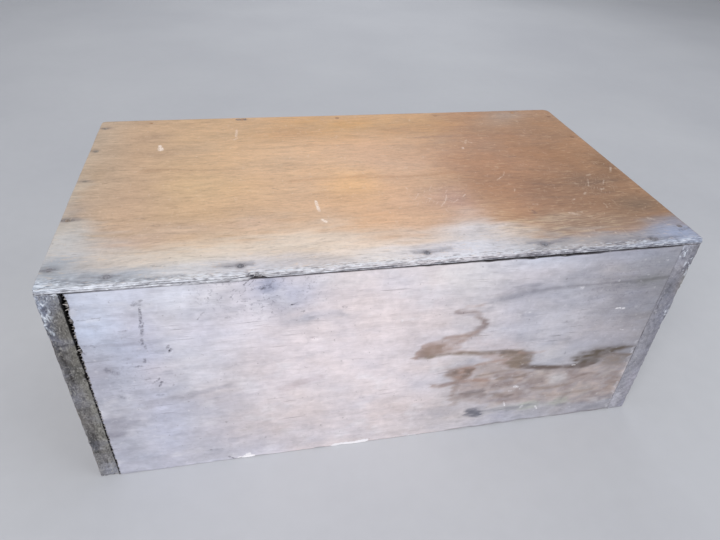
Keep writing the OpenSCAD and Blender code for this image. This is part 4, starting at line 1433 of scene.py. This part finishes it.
# Knocks in the face: place (x, y), reach and depth
SHEET_DENTS = [(128, -84.5, 3.5, 0.5), (-84, -21, 4, 0.25), (-144, -114, 3, 0.3), (208, -135, 3, 0.8),
               (60, -104, 5, 0.3), (-30, 70, 6, 0.25)]

# Radii of the worn corners, by the side along x and the side along y
SHEET_CORNERS = {(LOW, LOW): 4.0, (HIGH, LOW): 2.5, (LOW, HIGH): 5.0, (HIGH, HIGH): 8.0}

# Shares of the sheet's thickness at which its grid has levels, and those of the two glue lines
SHEET_LEVELS = (0, 0.09, 0.2, 0.3, 0.36, 0.42, 0.52, 0.6, 0.66, 0.72, 0.82, 0.92, 1)
LOWER_GLUE = 0.36
UPPER_GLUE = 0.66

# Middle of the broken-out notch along the front edge
NOTCH_X = -105

# How dark the nails' surroundings are
NAIL_RINGS = {"floor_nails_front": 0.5, "floor_nails_left": 0.2, "floor_nails_back": 0.06,
              "floor_nails_right": 0.05}


def sheet_lines(low, high):
    """Grid lines of the sheet: wide on the face, closer along the rims, and several to each ply."""
    across = [graded(low[axis], high[axis], RIM_STEP, 2.2, 1.12) for axis in (X, Y)]
    return across + [low[Z] + (high[Z] - low[Z]) * np.array(SHEET_LEVELS)]


def round_sheet(board, rim):
    """Rounds the sheet's corners in plan, and its rims by a radius for each point."""
    middle = (board.low + board.high) / 2
    half = (board.high - board.low) / 2
    away = board.flat - middle
    sign = np.where(away < 0, -1, 1)
    inset = half - abs(away)
    dx, dy, dz = inset.T
    side = np.minimum(dx, dy)
    near = (side < rim) & (dz < rim)
    reach = np.maximum(np.hypot(rim - side, rim - dz), 1e-9)
    new_side = np.where(near, rim - (rim - side) * rim / reach, side)
    new_z = np.where(near, rim - (rim - dz) * rim / reach, dz)
    new_x = np.where(dx <= dy, new_side, dx)
    new_y = np.where(dy < dx, new_side, dy)
    for (side_x, side_y), radius in SHEET_CORNERS.items():
        here = (dx < radius) & (dy < radius)
        here &= (sign[:, X] == 2 * side_x - 1) & (sign[:, Y] == 2 * side_y - 1)
        square = np.maximum(radius - side, 1e-9)
        share = np.where(dx <= dy, (radius - dy) / (2 * square), 1 - (radius - dx) / (2 * square))
        turn = share * math.pi / 2
        new_x = np.where(here, radius - (radius - new_side) * np.cos(turn), new_x)
        new_y = np.where(here, radius - (radius - new_side) * np.sin(turn), new_y)
    board.at = middle + sign * (half - np.stack([new_x, new_y, new_z], axis=1))


def sheet_rise(board):
    """Height of each point as a share of the sheet's thickness."""
    return (board.flat[:, Z] - board.low[Z]) / (board.high[Z] - board.low[Z])


def sheet_inset(board):
    """Distance of each point from the nearest of the sheet's four edges."""
    return np.minimum(board.flat - board.low, board.high - board.flat)[:, :2].min(axis=1)


def shape_sheet_edge(board):
    flat = board.flat
    x = flat[:, X]
    rise = sheet_rise(board)
    on_side = ramp(sheet_inset(board), 0.7, 0.1)

    # Plies: the top one has worn back, and glue lines are grooves between them.
    ply = np.select([rise < LOWER_GLUE, rise < UPPER_GLUE], [0, 1], 2)
    layer = flat * (1, 1, 0) + ply[:, None] * 57.0
    ragged = noise(layer, 6, 121) + 0.7 * noise(layer, 2.5, 122)
    board.push(on_side * (0.2 * ragged - np.select([ply == 2, ply == 1], [0.35, 0.1], 0)))
    groove = np.maximum(bell(rise - LOWER_GLUE, 0.05), bell(rise - UPPER_GLUE, 0.05))
    hanging = ramp(x, -240, -225) * ramp(x, -108, -114)
    hanging = hanging * ramp(noise(flat * (1, 0, 0), 7, 145), -0.5, 0.3)
    board.push(-(0.3 + 0.5 * hanging) * on_side * groove)
    chips = ramp(noise(flat * (1, 1, 0), (13, 13, FAR), 123), 0.35, 0.8) * (ply == 2)
    board.push(-0.8 * chips * on_side)

    # The front edge: the lowest ply hangs from the left corner to the notch.
    at_front = ramp(board.depth(Y, LOW), 1.4, 0.1)
    droop = np.clip((x + 238) / 125, 0, 1) * (x < -112)
    droop = droop * (1 + 0.2 * noise(flat * (1, 0, 0), (9, 9, 9), 124))
    lower = ramp(rise, 0.62, 0.08)
    board.at[:, Z] -= 1.7 * droop * lower * at_front
    board.at[:, Y] -= 0.55 * np.clip(droop * 1.5, 0, 1) * lower * at_front
    board.at[:, Y] -= 0.4 * ramp(rise, 0.7, 0.3) * at_front * ramp(x, -112, -100)

    # The broken-out notch, with its torn bottom
    mouth = ramp(abs(x - NOTCH_X + 1.4 * noise(flat, (2, 2, 1.5), 125) + 0.8 * (ply - 1)), 5.2, 3.4)
    depth = 1.9 + 1.1 * noise(flat * (1, 1, 0) + ply[:, None] * 31, 1.5, 126)
    board.at[:, Y] += depth * mouth * np.clip(1 - board.depth(Y, LOW) / 7, 0, 1)
    board.at[:, Z] -= 0.6 * mouth * ramp(board.depth(Y, LOW), 3.5, 0) * board.facing(Z, HIGH)


def shape_sheet_face(board):
    """Long waves, a worn corner, knocks and the seats of the nails"""
    flat = board.flat
    on_top = board.facing(Z, HIGH)
    board.push(0.14 * fractal(flat, (90, 40, FAR), 127, 2) * on_top)
    board.push(0.05 * noise(flat, (30, 4.5, FAR), 129) * on_top)
    corner = np.hypot(flat[:, X] - board.low[X], flat[:, Y] - board.low[Y])
    board.at[:, Z] -= 1.1 * bell(corner, 9) * on_top
    dents(board, Z, HIGH, SHEET_DENTS)
    for node in FLOOR_NAILS:
        depth, reach = (0.8, 3.3) if node == "floor_nails_front" else (0.45, 3.6)
        dent_nail_seats(board, NAIL_SPOTS[node], depth, reach)


def paint_sheet_face(board):
    """Paint of the face. Gives back the canvas."""
    flat = board.flat
    u = flat[:, X] + 5 * fractal(flat, (60, 30, FAR), 131) + 2.2 * noise(flat, (12, 4, FAR), 134)
    v = flat[:, Y] + 3.5 * fractal(flat, (50, 18, FAR), 135) + 1.6 * noise(flat, (16, 4, FAR), 138)
    canvas = Canvas(u, v, (188, 156, 128), board.facing(Z, HIGH, 2.4))
    canvas.lay(along_stops(u, SHEET_STOPS), 1)
    canvas.zones(SHEET_ZONES)

    # The worn band breaks up into streaks along the grain, and turns cold grey at the rim.
    streaks = noise(flat, (40, 4.5, FAR), 139) + 0.7 * noise(flat, (15, 3, FAR), 140)
    band = ramp(outline_distance(u, v, WORN_BAND) + 7 * streaks, 14, -12)
    band *= 0.9 + 0.1 * streaks
    canvas.lay(along_stops(u, BAND_STOPS), band * (1 - 0.12 * ramp(u, -120, -210)))
    ghost = ramp(outline_distance(u, v, WORN_BAND) + 12 * streaks, 38, 2)
    ghost = ghost * ramp(u, 60, -60) * ramp(u, -230, -150)
    canvas.lay((214, 190, 168), 0.4 * ghost * (1 - band))
    canvas.zones([
        ((218, 214, 219), 0.75, (66, -107), (24, 13)), ((214, 196, 182), 0.7, (106, -111), (18, 8)),
        ((174, 154, 138), 0.65, (146, -98), (30, 9)), ((160, 145, 134), 0.7, (152, -114), (28, 9)),
        ((206, 184, 174), 0.5, (66, -82), (14, 12)), ((152, 134, 120), 0.55, (196, -108), (24, 14)),
    ])
    rub = ramp(outline_distance(u, v, LEFT_RUB) + 3 * streaks, 3, -9) * ramp(v, 60, -20)
    canvas.lay((190, 180, 168), (0.25 + 0.3 * ramp(v, 40, -20)) * rub)
    canvas.zones([
        ((172, 156, 146), 0.6, (-240, -42), (12, 15)), ((200, 200, 202), 0.6, (-240, -88), (14, 16)),
        ((188, 168, 160), 0.5, (-196, -92), (24, 10)),
    ])
    rim = ramp(v + 4 * streaks, -113, -131)
    canvas.lay(along_stops(u, RIM_STOPS), 0.85 * rim)
    canvas.zones([
        ((162, 169, 180), 0.85, (-238, -114), (18, 13)), ((166, 172, 184), 0.7, (-195, -130), (22, 8)),
        ((196, 189, 190), 0.6, (-64, -131), (20, 8)),
        ((160, 170, 196), 0.85, (238, -126), (22, 13)),
        ((206, 216, 230), 0.7, (-246, -137), (9, 6)),
    ])
    canvas.lines(SHEET_STREAKS)
    # The front rim is pale partly from wear and partly as a painted highlight on its rounded edge.
    rim_wear_and_highlight = ramp(board.depth(Y, LOW), 4.5, 0.5) * ramp(noise(flat, (16, 5, 5), 141), -0.6, 0.3)
    canvas.lay((220, 224, 234), 0.7 * rim_wear_and_highlight * ramp(flat[:, X], 130, 40))
    canvas.lay((188, 198, 216), 0.5 * rim_wear_and_highlight * ramp(flat[:, X], 160, 190))
    other_rim = np.maximum(ramp(board.depth(X, HIGH), 3.0, 0.3), ramp(board.depth(Y, HIGH), 3.0, 0.3))
    canvas.lay((156, 134, 116), 0.35 * other_rim)
    for node, strength in NAIL_RINGS.items():
        for spot in NAIL_SPOTS[node]:
            distance = np.hypot(flat[:, X] - spot[X], flat[:, Y] - spot[Y])
            canvas.lay((104, 100, 106), strength * bell(distance - 2.8, 1.3))
    board.gloss = board.facing(Z, HIGH) * (1 - band) * ramp(flat[:, X], -260, -120)
    return canvas


def paint_sheet_edge(board, canvas):
    """The edge all round is pale and grey, darker in its lower plies and in the notch."""
    flat = board.flat
    edge = ramp(sheet_inset(board), 0.9, 0.3)
    canvas.on_face = edge
    canvas.lay(along_stops(flat[:, X], EDGE_STOPS), 1)
    worn_low = ramp(sheet_rise(board) + 0.15 * noise(flat, (12, 12, FAR), 144), 0.55, 0.2)
    canvas.lay((150, 148, 156), 0.55 * worn_low * ramp(board.depth(Y, LOW), 3, 0))
    canvas.lay((148, 130, 114), 0.75 * ramp(board.depth(Y, LOW), 3, 8))
    canvas.lay((92, 88, 94), 0.4 * ramp(noise(flat, (7, 7, 1.4), 142), 0.1, 0.7))
    canvas.on_face = 1
    near_notch = bell(flat[:, X] - NOTCH_X + 0.5, 5.5) * ramp(board.depth(Y, LOW), 3.2, 0.8)
    near_notch *= ramp(noise(flat, (1.8, 1.8, 1.2), 146), -0.6, 0.4)
    canvas.lay((88, 78, 78), 0.7 * near_notch)
    canvas.lay((140, 120, 100), board.facing(Z, LOW, 0.8) * 0.5 * (1 - edge))
    canvas.shade(0.03 * fractal(flat, (30, 9, FAR), 143))
    board.colour = canvas.colour
    board.sawn = edge


def add_notch_fibres(board):
    """Torn fibres that hang in the broken-out notch and to its left."""
    rng = np.random.default_rng(9)
    for place in list(np.linspace(-109, -101, 9)) + list(np.linspace(-124, -110, 8)):
        foot = np.array([place, board.low[Y] + rng.uniform(0.4, 1.8), board.low[Z] + rng.uniform(0.6, 3.2)])
        tip = foot + np.array([rng.uniform(-3.0, 3.0), -rng.uniform(0.6, 1.8), rng.uniform(-1.6, 0.2)])
        colour = tint(170, 164, 166) * rng.uniform(0.35, 1.2)
        width = rng.uniform(0.4, 0.9)
        board.add(*sliver(foot, tip, width, rng.uniform(0.3, 0.5)), colour)


def make_floor_sheet():
    board = Board("floor_sheet", sheet_lines, worn_radius(0.5, 0.2, 120))
    round_sheet(board, worn_radius(0.75, 0.35, 120)(board.flat))
    board.out = outward(board.at, board.faces)
    shape_sheet_edge(board)
    shape_sheet_face(board)
    paint_sheet_edge(board, paint_sheet_face(board))
    add_notch_fibres(board)
    material = veneer_material("worn_varnished_veneer", SHEET_DARK_MARKS, SHEET_PALE_MARKS,
                               board.lift(Z, HIGH))
    board.make("floor_sheet_worn", material)


# ---------------------------------------------------------------- nails

# Half of a wire nail's outline, from its middle down to the neck: radius and depth under the head's top
NAIL_HEAD = [
    (0.35, -0.05), (0.95, -0.07), (1.25, 0.0), (1.6, 0.02), (1.95, -0.05), (2.3, -0.02), (2.46, 0.12),
    (2.5, 0.32), (2.46, 0.55), (2.1, 0.8), (1.6, 1.15), (1.25, 1.4),
]
NAIL_SIDES = 28
SHANK_RADIUS = 1.25
# Grooves that held the wire as the head was struck: how many, radius, depth of the first, and spacing
GROOVES = 4
GROOVE_RADIUS = 1.16
FIRST_GROOVE = 2.2
GROOVE_STEP = 1.3


def nail_outline(length):
    """Radius and depth of each ring of a nail, from the head down to the point."""
    rings = list(NAIL_HEAD)
    for groove in range(GROOVES):
        depth = FIRST_GROOVE + groove * GROOVE_STEP
        rings += [(SHANK_RADIUS, depth), (GROOVE_RADIUS, depth + 0.35), (SHANK_RADIUS, depth + 0.7)]
    rings += [(SHANK_RADIUS, length * 0.45), (SHANK_RADIUS, length * 0.7), (SHANK_RADIUS, length - 4)]
    return rings + [(0.85, length - 2.6), (0.4, length - 1.1), (0.12, length - 0.15)]


def nail_mesh(length, rng):
    """A nail along -z with its head's top at the origin, a little out of true."""
    rings = nail_outline(length)
    turn = np.arange(NAIL_SIDES) * 2 * math.pi / NAIL_SIDES
    lobes = 1 + 0.03 * np.cos(2 * turn + rng.uniform(0, 6)) + 0.02 * np.cos(3 * turn + rng.uniform(0, 6))
    tilt = rng.uniform(-0.035, 0.035, 2)
    neck = NAIL_HEAD[-1][1]
    points = [[0, 0, -0.06]]
    for radius, depth in rings:
        lobed = radius * (lobes if depth < 1 else 1.0)
        ring = np.stack([lobed * np.cos(turn), lobed * np.sin(turn), np.full(NAIL_SIDES, -depth)], axis=1)
        if depth < neck:
            ring[:, 2] += ring[:, :2] @ tilt - 0.06 * rng.random(NAIL_SIDES) * (radius > 1)
        points += ring.tolist()
    points.append([0, 0, -length])
    faces = []
    for k in range(NAIL_SIDES):
        nxt = (k + 1) % NAIL_SIDES
        faces.append([0, 1 + k, 1 + nxt])
        for level in range(len(rings) - 1):
            a = 1 + level * NAIL_SIDES
            b = a + NAIL_SIDES
            faces.append([a + k, b + k, b + nxt, a + nxt])
        last = 1 + (len(rings) - 1) * NAIL_SIDES
        faces.append([last + k, len(points) - 1, last + nxt])
    return np.array(points), faces


def make_nail_row(node, axis, side, material):
    """All the nails of one CAD node, with their heads on one side of an axis."""
    rng = np.random.default_rng(sum(node.encode()))
    low, high = box_mm(node)
    length = (high - low)[axis]
    inward = -1 if side == HIGH else 1
    if axis == Z:
        turned = np.eye(3)
    else:
        turned = np.array(Matrix.Rotation(-inward * math.pi / 2, 3, "Y"))
    points = []
    faces = []
    for spot in NAIL_SPOTS[node]:
        nail_points, nail_faces = nail_mesh(length, rng)
        start = len(points)
        points += (nail_points @ turned.T + spot).tolist()
        faces += [[start + k for k in face] for face in nail_faces]
    make_piece(node + "_rusty", np.array(points), faces, material, node)


def make_nails():
    grey_iron = nail_material("grey_nail_iron", (98, 94, 98), (150, 148, 154), (186, 188, 196))
    rusty_iron = nail_material("rusty_nail_iron", (62, 48, 42), (104, 84, 74), (142, 130, 124))
    dusty_iron = nail_material("dusty_nail_iron", (122, 112, 104), (162, 150, 138), (186, 178, 168), 0.3)
    amber_iron = nail_material("amber_nail_iron", (158, 122, 92), (186, 146, 112), (202, 164, 130), 0.2)
    brown_iron = nail_material("varnished_nail_iron", (136, 104, 80), (160, 124, 97), (176, 142, 114), 0.2)
    floor_iron = {"floor_nails_front": grey_iron, "floor_nails_left": dusty_iron,
                  "floor_nails_back": amber_iron, "floor_nails_right": brown_iron}
    for node, (axis, side) in NAIL_WAYS.items():
        make_nail_row(node, axis, side, floor_iron.get(node, rusty_iron))


# ---------------------------------------------------------------- floor, light and camera

# Half of the floor's width, m
FLOOR_HALF = 40.0

# Area lights: name, place, width in m, power in W and colour. All of them face the crate's middle.
CRATE_MIDDLE = (0, 0, 0.1)
LIGHTS = [
    ("key", (-1.1, -1.7, 1.7), 1.5, 48, (1.0, 0.985, 0.965)),
    ("fill", (1.6, -1.0, 1.2), 1.8, 12, (0.95, 0.97, 1.0)),
    ("back_fill", (0.4, 1.8, 1.3), 1.8, 12, (0.97, 0.98, 1.0)),
]
ROOM_COLOUR = (0.93, 0.95, 1.0, 1)
ROOM_STRENGTH = 0.36

# The camera's focal length and sensor in mm, its place in m, and its turn about x, y and z in degrees
LENS = 28.3
SENSOR = 36
CAMERA_PLACE = (-0.1068, -0.4591, 0.4428)
CAMERA_TURN = (53.439, -2.727, -11.073)


def make_stage():
    """A plain pale floor that reaches far past the picture."""
    half = FLOOR_HALF
    corners = [(-half, -half, 0), (half, -half, 0), (half, half, 0), (-half, half, 0)]
    mesh = bpy.data.meshes.new("pale_floor")
    mesh.from_pydata(corners, [], [(0, 1, 2, 3)])
    s = Shader("pale_floor_paint")
    cloud = s.noise((3, 3, 3), detail=4.0)
    mottle = s.noise((60, 60, 60), detail=3.0)
    colour = s.mix(s.fit(cloud, 0.3, 0.7), rgba((186, 188, 194)), rgba((194, 196, 201)))
    colour = s.brighten(colour, s.total(1.0, s.swing(mottle, 0.03)))
    s.relief(mottle, 0.15)
    mesh.materials.append(s.finish(colour, s.fit(mottle, 0.3, 0.7, 0.75, 0.85)))
    stage_floor = bpy.data.objects.new("pale_floor", mesh)
    bpy.context.scene.collection.objects.link(stage_floor)


def add_area_light(name, place, size, power, colour):
    lamp = bpy.data.lights.new(name, "AREA")
    lamp.shape = "DISK"
    lamp.size = size
    lamp.energy = power
    lamp.color = colour
    holder = bpy.data.objects.new(name, lamp)
    holder.location = place
    holder.rotation_euler = (Vector(CRATE_MIDDLE) - Vector(place)).to_track_quat("-Z", "Y").to_euler()
    bpy.context.scene.collection.objects.link(holder)


def light_room():
    """Soft even light from a pale room."""
    world = bpy.data.worlds.new("pale_room")
    world.use_nodes = True
    background = world.node_tree.nodes["Background"]
    background.inputs["Color"].default_value = ROOM_COLOUR
    background.inputs["Strength"].default_value = ROOM_STRENGTH
    bpy.context.scene.world = world


def add_camera():
    """The camera at the photograph's angle."""
    data = bpy.data.cameras.new("main_camera")
    data.lens = LENS
    data.sensor_width = SENSOR
    holder = bpy.data.objects.new("main_camera", data)
    turn = Euler([math.radians(angle) for angle in CAMERA_TURN]).to_matrix().to_4x4()
    holder.matrix_world = Matrix.Translation(CAMERA_PLACE) @ turn
    bpy.context.scene.collection.objects.link(holder)
    bpy.context.scene.camera = holder


make_floor_sheet()
make_front_board()
make_back_board()
make_left_end()
make_right_end()
make_nails()
make_stage()
add_camera()
for row in LIGHTS:
    add_area_light(*row)
light_room()
bpy.context.scene.view_settings.view_transform = "Standard"
